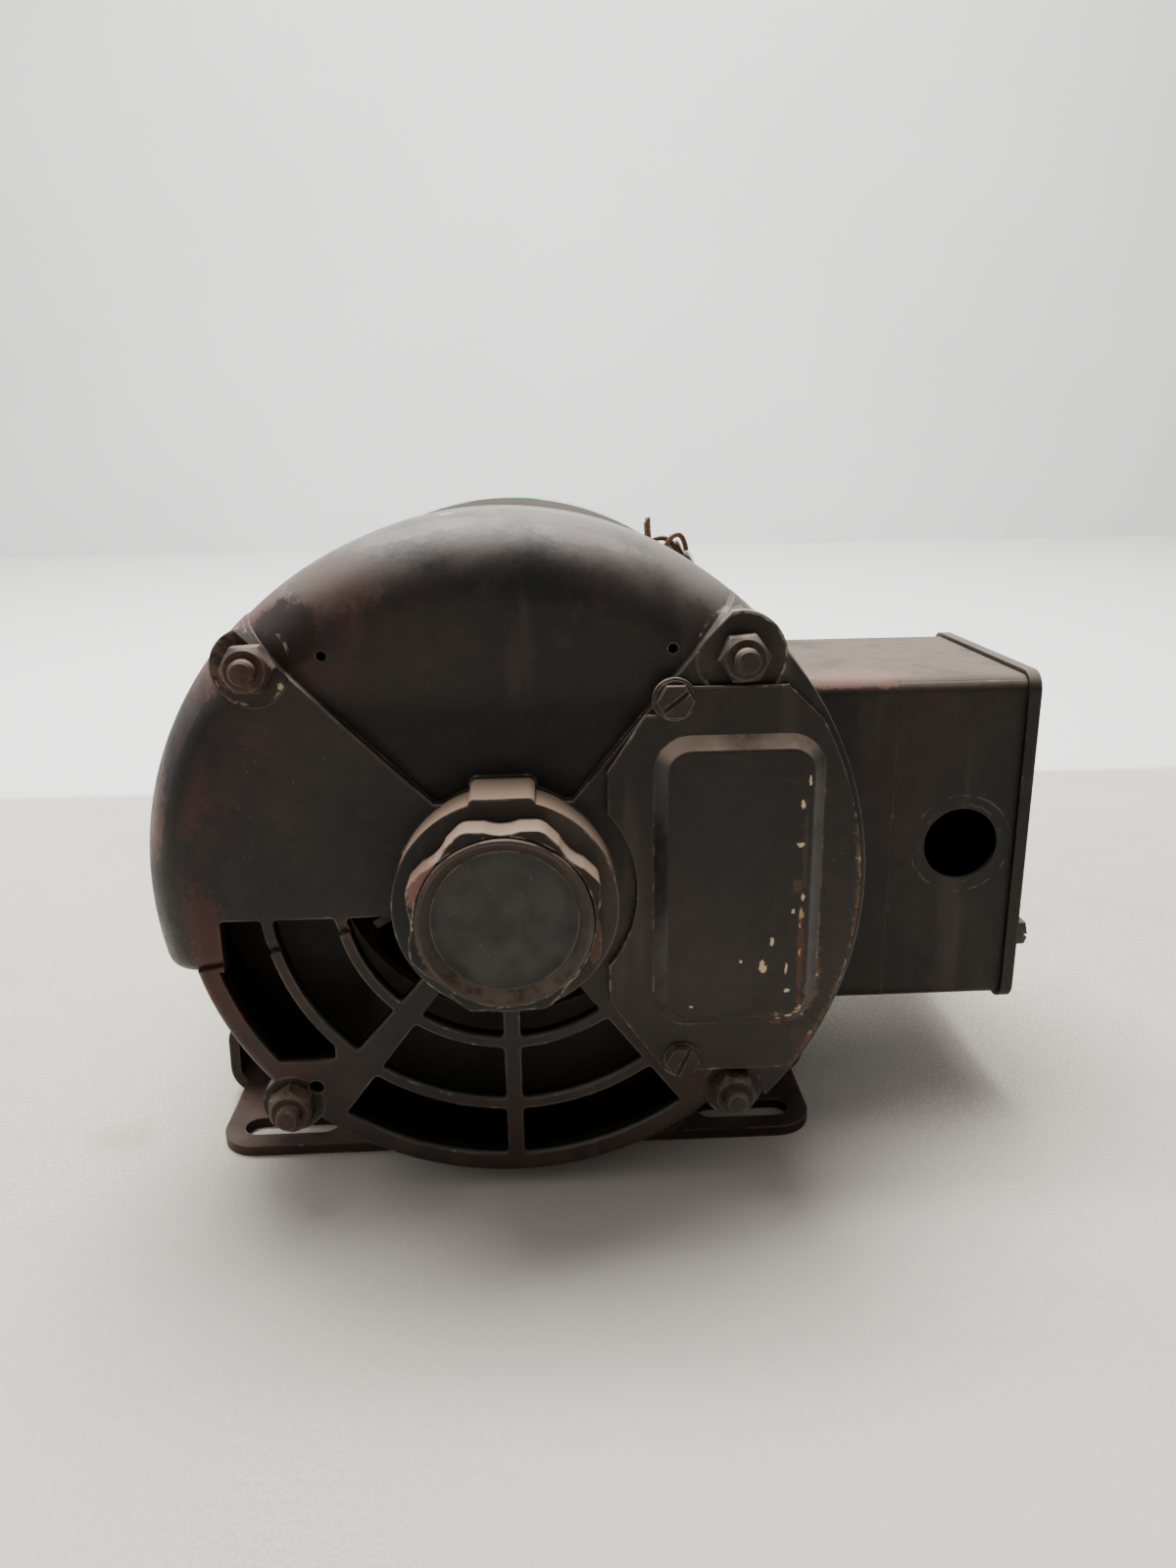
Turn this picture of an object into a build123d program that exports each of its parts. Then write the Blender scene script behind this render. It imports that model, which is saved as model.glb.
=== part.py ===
"""Foot-mounted open drip-proof induction motor, frame 143T, on a slotted base that also suits frame 56.

Millimetres, +Z up. The shaft lies along +Y with the drive end at +Y; the conduit box is on the +X side.
The origin is the centre of the foot slot pattern, on the underside of the feet.
"""

import os
from math import atan2, cos, degrees, radians, sin

from build123d import *

os.makedirs("parts", exist_ok=True)

# ---- driving dimensions ----------------------------------------------------------------------
shaft_height = 88.9

foot_width = 177.0
foot_length = 122.6
foot_thickness = 3.2
foot_corner = 11.0
slot_spacing_x = 137.0
slot_spacing_y = 101.6
slot_length = 28.0
slot_width = 8.7
wing_length = 55.0

shell_radius = 90.0
shell_wall = 2.0
shell_rear = -40.0
shell_front = 78.0
shell_floor = 3.4

bolt_offset = 59.8
bolt_diameter = 6.35
nut_across_flats = 11.1
nut_thickness = 5.6

rear_face = -81.0
rear_rim = -36.0
hood_radius = 95.0
hood_shoulder = 18.0
recess_shoulder = 21.0
pad_radius = 93.5
lower_rim = 83.5
lower_back = 92.5
plate_wall = 4.5
recess_depth = 3.2
hub_radius = 28.3
hub_front = -92.2
lug_width = 16.4
lug_top = 30.4
lug_rounding = 1.8
pocket_depth = 0.6
vent_outer = 78.0
vent_ribs = (43.5, 62.2)
rib_width = 2.8

front_face = 97.0
front_rim = 74.0
front_radius = 93.0
shoulder_relief = 0.6
shoulder_bore = 21.0
front_hub_radius = 36.0
front_hub_end = 101.0

shoulder = slot_spacing_y / 2 + 57.15
extension = 57.15
extension_diameter = 22.225

stack_rear = -20.0
stack_front = 58.0
air_gap = 0.4
rotor_radius = 48.6
slot_count = 36

box_rear = -36.0
box_front = 43.6
box_floor = 30.6
box_top = 132.9
box_seam = 114.5
box_open = 153.6
box_wall = 1.6
knockout_x = 135.7
knockout_z = 82.0
knockout_radius = 11.1

far = 400.0


# ---- shared construction -----------------------------------------------------------------------
shaft_axis = Axis((0, 0, shaft_height), (0, 1, 0))
radial_plane = Plane(origin=(0, 0, shaft_height), x_dir=(0, 1, 0), z_dir=(1, 0, 0))


def cross_plane(y):
    """A plane across the shaft, seen from the rear: local x is +X, local y is up, origin on the shaft."""
    return Plane(origin=(0, y, shaft_height), x_dir=(1, 0, 0), z_dir=(0, -1, 0))


def disc(y_from, y_to, outer, inner=0.0, mode=Mode.ADD):
    """A round disc or ring about the shaft, between two places along it."""
    with BuildSketch(cross_plane(y_to)) as profile:
        Circle(outer)
        if inner:
            Circle(inner, mode=Mode.SUBTRACT)
    extrude(profile.sketch, amount=y_to - y_from, mode=mode)


def wedge(angle_from, angle_to):
    """Corners of a fan about the shaft that is wide enough to hold any sector of the motor."""
    middle = (angle_from + angle_to) / 2
    angles = (angle_from, (angle_from + middle) / 2, middle, (middle + angle_to) / 2, angle_to)
    return [(0, 0)] + [(far * cos(radians(a)), far * sin(radians(a))) for a in angles]


def sector(points, angle_from, angle_to, rounded=()):
    """Revolves a (place along the shaft, radius) outline and keeps the part between two angles."""
    with BuildPart() as body:
        with BuildSketch(radial_plane) as outline:
            with BuildLine():
                Polyline(*points, close=True)
            make_face()
            for corner, radius in rounded:
                fillet(outline.vertices().sort_by_distance(corner)[0], radius)
        revolve(axis=shaft_axis)
        with BuildSketch(cross_plane(far)):
            Polygon(*wedge(angle_from, angle_to), align=None)
        extrude(amount=2 * far, mode=Mode.INTERSECT)
    return body.part


def kept_above(piece, floor):
    """The part of a solid above a height."""
    with BuildPart() as kept:
        add(piece)
        with BuildSketch(Plane.XY.offset(floor)):
            Rectangle(far, far)
        extrude(amount=far, mode=Mode.INTERSECT)
    return kept.part


def flat_bottomed_circle(radius, floor):
    """A circle about the shaft with everything below a height cut away."""
    Circle(radius)
    with Locations((0, floor - shaft_height - radius)):
        Rectangle(2 * radius, 2 * radius, mode=Mode.SUBTRACT)


def save(piece, name):
    """Names a finished piece and writes it."""
    piece.part.label = name
    export_step(piece.part, f"parts/{name}.step")


bolt_points = [(-bolt_offset, bolt_offset), (bolt_offset, bolt_offset),
               (-bolt_offset, -bolt_offset), (bolt_offset, -bolt_offset)]


# ---- base --------------------------------------------------------------------------------------
def wing_path(side):
    """Middle of the bent side wing, from the foot plate up to the frame."""
    half = foot_thickness / 2
    return [(side * x, z - shaft_height) for x, z in
            ((78.0, half), (91.0, half), (90.6, 20.0), (80.6, 50.0))]


with BuildPart() as base:
    with BuildSketch():
        RectangleRounded(foot_width, foot_length, foot_corner)
    extrude(amount=foot_thickness)
    for side in (-1, 1):
        with BuildSketch(cross_plane(wing_length / 2)):
            with BuildLine():
                FilletPolyline(*wing_path(side), radius=8)
            trace(line_width=foot_thickness)
        extrude(amount=wing_length)
    with BuildSketch(cross_plane(shell_front)):
        flat_bottomed_circle(shell_radius + 0.03, shell_floor)
    extrude(amount=shell_front - shell_rear, mode=Mode.SUBTRACT)
    with BuildSketch():
        with GridLocations(slot_spacing_x, slot_spacing_y, 2, 2):
            SlotOverall(slot_length, slot_width)
    extrude(amount=foot_thickness, mode=Mode.SUBTRACT)
save(base, "base")


# ---- frame -------------------------------------------------------------------------------------
with BuildPart() as frame_shell:
    with BuildSketch(cross_plane(shell_front)):
        flat_bottomed_circle(shell_radius, shell_floor)
    extrude(amount=shell_front - shell_rear)
    with BuildSketch(cross_plane(shell_front)):
        flat_bottomed_circle(shell_radius - shell_wall, shell_floor + shell_wall)
    extrude(amount=shell_front - shell_rear, mode=Mode.SUBTRACT)
    with BuildSketch(Plane.YZ.offset(shell_radius - 20)):
        with Locations(((box_rear + box_front) / 2, (box_floor + box_top) / 2)):
            Circle(13)
    extrude(amount=25, mode=Mode.SUBTRACT)
save(frame_shell, "frame_shell")


# ---- rear end bell -----------------------------------------------------------------------------
hood_angles = (32, 195)
lower_angles = (194, 322)
pad_angles = (-42, 44.5)

hood = sector([(rear_face, 0), (rear_face, hood_radius), (rear_rim, hood_radius), (rear_rim, 0)],
              *hood_angles, rounded=[((rear_face, hood_radius), hood_shoulder)])
with BuildPart() as rounded_hood:
    add(hood)
    low_end = rounded_hood.faces().sort_by(Axis.Z)[0]
    fillet([edge for edge in low_end.edges() if edge.center().X < -hood_radius * 0.8], 5)
hood = rounded_hood.part
recess_face = rear_face + recess_depth
recessed_hood = sector([(recess_face, 0), (recess_face, hood_radius), (rear_rim, hood_radius), (rear_rim, 0)],
                       30, 150, rounded=[((recess_face, hood_radius), recess_shoulder)])
lower_cup = sector([(rear_face, 0), (rear_face, lower_rim), (shell_rear, lower_back), (rear_rim, lower_back),
                    (rear_rim, 0)],
                   *lower_angles, rounded=[((rear_face, lower_rim), 2.5)])
pad = sector([(rear_face, 0), (rear_face, pad_radius), (rear_rim, pad_radius), (rear_rim, 0)],
             *pad_angles, rounded=[((rear_face, pad_radius), 1.2)])

cup_floor = 8.0
inner_face = rear_face + plate_wall
inner_radius = shell_radius - shell_wall
seat_radius = shell_radius + 0.15
hood_hollow = sector([(inner_face, 0), (inner_face, inner_radius), (shell_rear, inner_radius), (shell_rear, 0)],
                     35, 192, rounded=[((inner_face, inner_radius), hood_shoulder - plate_wall)])
lower_hollow = sector([(inner_face, 0), (inner_face, vent_outer + 0.5), (shell_rear - 4, inner_radius),
                       (shell_rear, inner_radius), (shell_rear, 0)], 190, 324)
lower_hollow = kept_above(lower_hollow, cup_floor)
pad_hollow = sector([(inner_face, 0), (inner_face, inner_radius), (shell_rear, inner_radius), (shell_rear, 0)],
                    -37, 36)

notch_height = -20.0
left_edge = [(-6.6, -5.9), (-90, -5.9), (-90, -90), (-82.5, -90)]
left_outer_edge = [(-30, -5.9), (-74, -5.9), (-74, notch_height), (-90, notch_height), (-90, -46.9),
                   (-47.3, -46.9), (-47.3, -41.5), (-30, -41.5)]
bottom_edge = [(0, -3.5), (-55, -75.2), (-55, -95), (55, -95), (55, -75.2)]
centre_rib = 4.4


def vent(inner, outer, edge, rib):
    """One ring of ventilation openings, as wide as a ring sector and optionally split by an upright rib."""
    with BuildSketch(cross_plane(0)) as opening:
        Polygon(*edge, align=None)
        Circle(outer, mode=Mode.INTERSECT)
        Circle(inner, mode=Mode.SUBTRACT)
        if rib:
            with Locations((0, -far / 2)):
                Rectangle(rib, far, mode=Mode.SUBTRACT)
        fillet([corner for corner in opening.vertices() if abs(corner.Y - notch_height) > 0.1], 1.2)
    return opening.sketch


vent_rings = [(hub_radius, vent_ribs[0] - rib_width / 2),
              (vent_ribs[0] + rib_width / 2, vent_ribs[1] - rib_width / 2),
              (vent_ribs[1] + rib_width / 2, vent_outer)]
access_opening = (40.0, -31.0, 74.0, 34.0)
screw_points = [(42.9, 49.7), (45.5, -48.9)]
ear_radii = (9.6, 11.2, 8.2, 8.2)

with BuildPart() as recess_cutter:
    with BuildSketch(cross_plane(0)):
        Polygon((-17.6, 23.8), (-140, 146.2), (130, 146.2), (51.0, 64.2), (17.6, 23.8), align=None)
        Circle(hub_radius - 1, mode=Mode.SUBTRACT)
    extrude(amount=far)
    add(recessed_hood, mode=Mode.SUBTRACT)
    with BuildSketch(cross_plane(rear_rim)):
        Circle(hood_radius + 1)
    extrude(amount=rear_rim - rear_face + 1, mode=Mode.INTERSECT)
recess_cut = recess_cutter.part

with BuildPart() as key_lug:
    lug_back = recess_face + 1
    lug_foot = shaft_height + 20
    with BuildSketch(Plane.YZ.offset(-lug_width / 2)):
        Polygon((lug_back, lug_foot), (lug_back, shaft_height + lug_top),
                (hub_front, shaft_height + hub_radius + 0.3), (hub_front, lug_foot), align=None)
    extrude(amount=lug_width)
    ramp = [face for face in key_lug.faces() if face.normal_at().Z > 0.5][0]
    fillet([edge for edge in ramp.edges() if edge.length < lug_width - 0.1], lug_rounding)

with BuildPart() as rear_end_bell:
    add(hood)
    add(lower_cup)
    add(pad)
    with BuildSketch(cross_plane(inner_face)):
        for bolt_point, ear_radius in zip(bolt_points, ear_radii):
            with Locations(bolt_point):
                Circle(ear_radius)
    extrude(amount=plate_wall)
    add(hood_hollow, mode=Mode.SUBTRACT)
    add(lower_hollow, mode=Mode.SUBTRACT)
    add(pad_hollow, mode=Mode.SUBTRACT)
    # bosses that carry the through bolts down to the frame
    with BuildSketch(cross_plane(shell_rear)):
        with Locations(*bolt_points):
            Circle(8.0)
    extrude(amount=shell_rear - rear_face - pocket_depth)
    # the frame's seat, and the flat underside
    disc(shell_rear, rear_rim, seat_radius, mode=Mode.SUBTRACT)
    with BuildSketch(cross_plane(rear_rim)):
        with Locations((0, -far / 2 - shaft_height + foot_thickness + 1.2)):
            Rectangle(far, far)
    extrude(amount=rear_rim - rear_face, mode=Mode.SUBTRACT)
    # recessed top of the face between two ledges
    add(recess_cut, mode=Mode.SUBTRACT)
    # spot-faced seats for the nuts
    with BuildSketch(cross_plane(rear_face + pocket_depth)):
        for bolt_point, ear_radius in zip(bolt_points, ear_radii):
            with Locations(bolt_point):
                Circle(ear_radius + 0.1)
    extrude(amount=pocket_depth * 4, mode=Mode.SUBTRACT)
    # ventilation
    for inner, outer in vent_rings:
        edge = left_edge if outer < vent_outer else left_outer_edge
        extrude(vent(inner, outer, edge, 0), amount=far, mode=Mode.SUBTRACT)
        extrude(vent(inner, outer, bottom_edge, centre_rib), amount=far, mode=Mode.SUBTRACT)
    # access opening behind the cover plate
    with BuildSketch(cross_plane(inner_face)):
        left, low, right, high = access_opening
        with Locations(((left + right) / 2, (low + high) / 2)):
            RectangleRounded(right - left, high - low, 4)
    extrude(amount=plate_wall, mode=Mode.SUBTRACT)
    # bearing housing with its key lug
    disc(hub_front, -74.5, hub_radius)
    add(key_lug)
    disc(-91.0, -74.5, 20.0, mode=Mode.SUBTRACT)
    disc(hub_front, -91.0, 17.5, mode=Mode.SUBTRACT)
    # bolt holes, cover screw holes and small drilled holes
    with BuildSketch(cross_plane(rear_rim)):
        with Locations(*bolt_points):
            Circle(bolt_diameter / 2 + 0.25)
        with Locations(*screw_points):
            Circle(2.1)
        with Locations((-43.0, 61.6), (43.0, 61.6)):
            Circle(1.2)
        with Locations((-53.2, -54.9)):
            Circle(2.0)
    extrude(amount=rear_rim - rear_face, mode=Mode.SUBTRACT)
save(rear_end_bell, "rear_end_bell")


# ---- rear hub trim -----------------------------------------------------------------------------
collar_flats = 46.8
collar_back = hub_front - 0.02
collar_front = -101.0
collar_corner = 4.5
grip_radius = 11.0
grip_depth = 0.8
cap_radius = 21.6
cap_front = -102.4
cap_lip = 1.1
dish_radius = 18.0
dish_depth = 2.6
dish_taper = degrees(atan2(cap_radius - cap_lip - dish_radius, dish_depth))

with BuildPart() as hub_collar:
    with BuildSketch(cross_plane(collar_back)) as octagon:
        RegularPolygon(collar_flats / 2, 8, major_radius=False, rotation=22.5)
        fillet(octagon.vertices(), collar_corner)
        # shallow grips in the middle of each flat
        with PolarLocations(collar_flats / 2 + grip_radius - grip_depth, 8):
            Circle(grip_radius, mode=Mode.SUBTRACT)
        Circle(cap_radius + 0.25, mode=Mode.SUBTRACT)
    extrude(amount=collar_back - collar_front)
    fillet(hub_collar.faces().sort_by(Axis.Y)[0].outer_wire().edges(), 0.5)
save(hub_collar, "hub_collar")

with BuildPart() as hub_cap:
    disc(cap_front, collar_back, cap_radius)
    with BuildSketch(cross_plane(cap_front + dish_depth)):
        Circle(dish_radius)
    extrude(amount=dish_depth, taper=-dish_taper, mode=Mode.SUBTRACT)
    disc(cap_front + 4.0, collar_back, cap_radius - 1.4, mode=Mode.SUBTRACT)
    fillet(hub_cap.edges().filter_by(GeomType.CIRCLE).sort_by(Axis.Y)[:2], 0.45)
save(hub_cap, "hub_cap")


# ---- access cover ------------------------------------------------------------------------------
gasket_thickness = 0.8
cover_thickness = 1.2
cover_back = rear_face - gasket_thickness
cover_face = cover_back - cover_thickness
cover_rim = 91.5
cover_high = 53.0
cover_low = -52.6
emboss_height = 3.0


def cover_outline(shrink=0.0):
    """Outline of the access cover: straight top, rim along the bell's edge, hollow around the hub."""
    rim = cover_rim - shrink
    hub_clearance = 33.5 + shrink
    with BuildSketch() as outline:
        with BuildLine():
            ThreePointArc((rim * cos(radians(29)), rim * sin(radians(29))), (rim, 0),
                          (rim * cos(radians(-35)), rim * sin(radians(-35))))
            Polyline((rim * cos(radians(-35)), rim * sin(radians(-35))), (70.5 - shrink, cover_low + shrink),
                     (41, cover_low + shrink), (26.1 + shrink, -31.5), (26.1 + shrink, -21))
            ThreePointArc((26.1 + shrink, -21), (hub_clearance, 0), (26.1 + shrink, 21))
            Polyline((26.1 + shrink, 21), (26.1 + shrink, 31.5), (35.5 + shrink, 46), (41, 46),
                     (41, cover_high - shrink), (71.2 - shrink, cover_high - shrink),
                     (rim * cos(radians(29)), rim * sin(radians(29))))
        make_face()
        with Locations(*screw_points):
            Circle(5.6 - shrink)
            Circle(2.1, mode=Mode.SUBTRACT)
    return outline.sketch


emboss_corner = 6.0


def emboss(grow):
    """Rounded rectangle of the raised panel, larger at its foot than at its top."""
    with BuildSketch() as panel:
        with Locations((59.4, 1.1)):
            RectangleRounded(36.5 + 2 * grow, 72.6 + 2 * grow, emboss_corner + grow)
    return panel.sketch


def on_face(sketch, y):
    """Moves a sketch drawn on the XY plane to a plane across the shaft."""
    return cross_plane(y) * sketch


with BuildPart() as access_cover_gasket:
    extrude(on_face(cover_outline(0.8), rear_face - 0.02), amount=gasket_thickness - 0.04)
    with BuildSketch(cross_plane(rear_face)):
        left, low, right, high = access_opening
        with Locations(((left + right) / 2, (low + high) / 2)):
            RectangleRounded(right - left, high - low, 4)
    extrude(amount=gasket_thickness, mode=Mode.SUBTRACT)
save(access_cover_gasket, "access_cover_gasket")

emboss_slope = 3.4
emboss_taper = degrees(atan2(emboss_slope, emboss_height))
emboss_inside = emboss(emboss_slope - cover_thickness)
with BuildPart() as access_cover:
    extrude(on_face(cover_outline(), cover_back), amount=cover_thickness)
    extrude(on_face(emboss(emboss_slope), cover_face), amount=emboss_height, taper=emboss_taper)
    fillet(access_cover.faces().sort_by(Axis.Y)[0].edges(), 1.6)
    extrude(on_face(emboss_inside, cover_back), amount=emboss_height, taper=emboss_taper, mode=Mode.SUBTRACT)
save(access_cover, "access_cover")

with BuildPart() as access_cover_screws:
    with BuildSketch(cross_plane(cover_face - 0.02)):
        with Locations(*screw_points):
            RegularPolygon(3.97, 6, major_radius=False)
    extrude(amount=2.6)
    with BuildSketch(cross_plane(cover_face - 0.02)):
        with Locations(*screw_points):
            Circle(5.0)
    extrude(amount=0.7)
    with BuildSketch(cross_plane(cover_face - 1.6)):
        for (x, y), turn in zip(screw_points, (38, 65)):
            with Locations(Location((x, y, 0), (0, 0, turn))):
                Rectangle(12, 1.1)
    extrude(amount=3, mode=Mode.SUBTRACT)
    with BuildSketch(cross_plane(inner_face + 3)):
        with Locations(*screw_points):
            Circle(1.9)
    extrude(amount=inner_face + 3 - cover_face + 0.5)
save(access_cover_screws, "access_cover_screws")


# ---- through bolts -----------------------------------------------------------------------------
nut_seat = rear_face + pocket_depth
head_seat = front_face - 1.0
nut_turns = (0, 55, 28, 68)

with BuildPart() as through_bolts:
    with BuildSketch(cross_plane(head_seat + 0.02)):
        with Locations(*bolt_points):
            Circle(bolt_diameter / 2)
    extrude(amount=head_seat - nut_seat + nut_thickness + 3.4)
    chamfer(through_bolts.faces().group_by(Axis.Y)[0].edges(), 0.7)
    with BuildSketch(cross_plane(head_seat + 4.2)):
        with Locations(*bolt_points):
            RegularPolygon(nut_across_flats / 2, 6, major_radius=False)
    extrude(amount=4.18)
save(through_bolts, "through_bolts")

# one nut about the Y axis, its outer corners turned off; then one at each bolt
with BuildPart() as nut:
    with BuildSketch(Plane.XZ.offset(-nut_seat + 0.02)):
        RegularPolygon(nut_across_flats / 2, 6, major_radius=False)
        Circle(bolt_diameter / 2 + 0.03, mode=Mode.SUBTRACT)
    extrude(amount=nut_thickness)
    with BuildSketch(Plane.XZ.offset(-nut_seat)) as corners:
        Circle(nut_across_flats / 2 + 3.8)
    extrude(corners.sketch, amount=nut_thickness + 1, taper=38, mode=Mode.INTERSECT)

with BuildPart() as through_bolt_nuts:
    for (x, z), turn in zip(bolt_points, nut_turns):
        with Locations(Location((x, 0, z + shaft_height), (0, turn, 0))):
            add(nut.part)
save(through_bolt_nuts, "through_bolt_nuts")


# ---- front end bell ----------------------------------------------------------------------------
front_inner = front_face - 5.0


def turned(points, rounded):
    """Revolves a (place along the shaft, radius) outline all the way round."""
    with BuildPart() as body:
        with BuildSketch(radial_plane) as outline:
            with BuildLine():
                Polyline(*points, close=True)
            make_face()
            for corner, radius in rounded:
                fillet(outline.vertices().sort_by_distance(corner)[0], radius)
        revolve(axis=shaft_axis)
    return body.part


front_cup = turned([(front_rim, 0), (front_rim, front_radius), (front_face, front_radius), (front_face, 0)],
                   [((front_face, front_radius), 10)])
front_hollow = turned([(shell_front, 0), (shell_front, inner_radius), (front_inner, inner_radius),
                       (front_inner, 0)], [((front_inner, inner_radius), 6)])

with BuildPart() as front_end_bell:
    add(front_cup)
    add(kept_above(front_hollow, cup_floor), mode=Mode.SUBTRACT)
    with BuildSketch(cross_plane(front_face - 1)):
        with Locations(*bolt_points):
            Circle(9.0)
    extrude(amount=front_face - 1 - shell_front)
    disc(front_rim, shell_front, seat_radius, mode=Mode.SUBTRACT)
    disc(76.0, front_hub_end, front_hub_radius)
    with BuildSketch(cross_plane(front_face + 10)):
        with Locations((0, -far / 2 - shaft_height + foot_thickness + 1.2)):
            Rectangle(far, far)
    extrude(amount=front_face + 10 - front_rim, mode=Mode.SUBTRACT)
    # spot faces for the bolt heads
    with BuildSketch(cross_plane(front_face + 5)):
        with Locations(*bolt_points):
            Circle(8.4)
    extrude(amount=6, mode=Mode.SUBTRACT)
    # ventilation slots in the lower half
    for angle in range(-162, -17, 12):
        with BuildSketch(cross_plane(front_face + 5)) as slot:
            with Locations(Location((0, 0, 0), (0, 0, angle))):
                with Locations((58, 0)):
                    SlotOverall(30, 7)
        extrude(amount=12, mode=Mode.SUBTRACT)
    disc(76.0, 95.0, 26.0, mode=Mode.SUBTRACT)
    disc(95.0, front_hub_end, 15.0, mode=Mode.SUBTRACT)
    # the shoulder holds the outer race only and clears the turning inner race
    disc(95.0, 95.0 + shoulder_relief, shoulder_bore, mode=Mode.SUBTRACT)
    with BuildSketch(cross_plane(front_face + 5)):
        with Locations(*bolt_points):
            Circle(bolt_diameter / 2 + 0.25)
        with PolarLocations(30.5, 3, start_angle=90):
            Circle(2.2)
    extrude(amount=40, mode=Mode.SUBTRACT)
save(front_end_bell, "front_end_bell")


# ---- stator ------------------------------------------------------------------------------------
bore = rotor_radius + air_gap
slot_root = 68.0

with BuildPart() as stator_core:
    with BuildSketch(cross_plane(stack_front)):
        flat_bottomed_circle(inner_radius - 0.03, shell_floor + shell_wall + 0.03)
        Circle(bore, mode=Mode.SUBTRACT)
        with Locations(*bolt_points):
            Circle(5.0, mode=Mode.SUBTRACT)
        with PolarLocations((slot_root + bore) / 2 + 1, slot_count):
            SlotOverall(slot_root - bore - 2, 5.2, mode=Mode.SUBTRACT)
        with PolarLocations(bore + 1, slot_count):
            Rectangle(5, 2.4, mode=Mode.SUBTRACT)
    extrude(amount=stack_front - stack_rear)
save(stator_core, "stator_core")

coil_inner = 51.5
coil_outer = 70.0


def winding(start, end, lump_radius, name):
    """End winding: a rounded ring of coils with a bulge for each coil group."""
    with BuildPart() as coils:
        low, high = min(start, end), max(start, end)
        with BuildSketch(radial_plane) as section:
            with Locations(((low + high) / 2, (coil_inner + coil_outer) / 2)):
                RectangleRounded(high - low, coil_outer - coil_inner, 5.5)
        revolve(axis=shaft_axis)
        middle = (low + high) / 2
        with BuildSketch(cross_plane(middle + 8)):
            with PolarLocations((coil_inner + coil_outer) / 2, 12):
                Circle(lump_radius)
        extrude(amount=16)
    save(coils, name)


winding(stack_rear - 0.3, stack_rear - 27, 11.5, "rear_winding")
winding(stack_front + 0.3, stack_front + 25, 11.5, "front_winding")


# ---- rotor -------------------------------------------------------------------------------------
core_seat = 17.0
rear_journal = 8.5
front_journal = 12.5

with BuildPart() as shaft:
    disc(-89.6, -76.5, rear_journal)
    disc(-76.5, stack_rear - 6, 12.0)
    disc(stack_rear - 6, stack_front + 6, core_seat)
    disc(stack_front + 6, 80.0, 15.5)
    disc(80.0, shoulder, front_journal)
    disc(shoulder, shoulder + extension, extension_diameter / 2)
    chamfer(shaft.faces().sort_by(Axis.Y)[-1].edges(), 1.2)
    chamfer(shaft.faces().sort_by(Axis.Y)[0].edges(), 0.8)
    # keyway for a 3/16 in square key
    with BuildSketch(Plane.XY.offset(shaft_height + extension_diameter / 2 - 2.75)):
        with Locations((0, shoulder + extension - 17.5)):
            RectangleRounded(4.7625, 35.0, 2.3)
        with Locations((0, shoulder + extension - 5)):
            Rectangle(4.7625, 10.0)
    extrude(amount=6, mode=Mode.SUBTRACT)
    # groove of the snap ring behind the front bearing
    disc(95.6, 96.9, front_journal + 1, front_journal - 0.8, mode=Mode.SUBTRACT)
save(shaft, "shaft")

with BuildPart() as rotor_core:
    disc(stack_rear, stack_front, rotor_radius, core_seat + 0.03)
    with BuildSketch(cross_plane(stack_front)):
        with PolarLocations(27, 8):
            Circle(4.5)
    extrude(amount=stack_front - stack_rear, mode=Mode.SUBTRACT)
save(rotor_core, "rotor_core")


def cage_end(start, end, blade_end, name):
    """Cast end ring with fan blades standing on it."""
    with BuildPart() as ring:
        low, high = min(start, end), max(start, end)
        disc(low, high, 47.0, 34.0)
        blade_low, blade_high = min(start, blade_end), max(start, blade_end)
        with BuildSketch(cross_plane(blade_high)):
            with PolarLocations(40.5, 12):
                Rectangle(12.0, 2.6)
        extrude(amount=blade_high - blade_low)
    save(ring, name)


cage_end(stack_rear - 0.02, stack_rear - 11, stack_rear - 26, "rear_cage_ring")
cage_end(stack_front + 0.02, stack_front + 10, stack_front + 16, "front_cage_ring")


# ---- bearings ----------------------------------------------------------------------------------
running_gap = 0.04


def bearing(prefix, y, width, inner, outer, ball, count):
    """Deep-groove ball bearing between two radii: races, balls, a ribbon cage and two shields."""
    pitch = (inner + outer) / 2
    land = 0.30 * (outer - inner)
    races = (("outer_race", outer - land, outer - 0.02), ("inner_race", inner + 0.02, inner + land))
    for race, low, high in races:
        with BuildPart() as ring:
            disc(y, y + width, high, low)
            with BuildSketch(radial_plane):
                with Locations((y + width / 2, pitch)):
                    Circle(ball + running_gap)
            revolve(axis=shaft_axis, mode=Mode.SUBTRACT)
            for edge in (y, y + width - 0.9):
                if race == "outer_race":
                    disc(edge, edge + 0.9, low + 0.9, low - 1, mode=Mode.SUBTRACT)
        save(ring, f"{prefix}_bearing_{race}")
    with BuildPart() as balls:
        with Locations(cross_plane(y + width / 2)):
            with PolarLocations(pitch, count):
                Sphere(ball)
    save(balls, f"{prefix}_bearing_balls")
    with BuildPart() as cage:
        half_width = ball + 0.9
        disc(y + width / 2 - half_width, y + width / 2 + half_width, pitch + 0.9, pitch - 0.9)
        for step in range(count):
            turn = radians(360 / count * step)
            outward = (cos(turn), 0, sin(turn))
            pocket = Plane(origin=(0, y + width / 2, shaft_height), x_dir=(0, 1, 0), z_dir=outward)
            with BuildSketch(pocket.offset(pitch - 2)):
                Circle(ball + 0.12)
            extrude(amount=4, mode=Mode.SUBTRACT)
    save(cage, f"{prefix}_bearing_cage")
    with BuildPart() as shields:
        for edge in (y + 0.1, y + width - 0.8):
            disc(edge, edge + 0.7, outer - land + 0.85, inner + land + 0.35)
    save(shields, f"{prefix}_bearing_shields")


bearing("rear", -88.9, 12.0, rear_journal, 20.0, 3.37, 8)
bearing("front", 80.0, 15.0, front_journal, 26.0, 3.97, 9)

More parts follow.
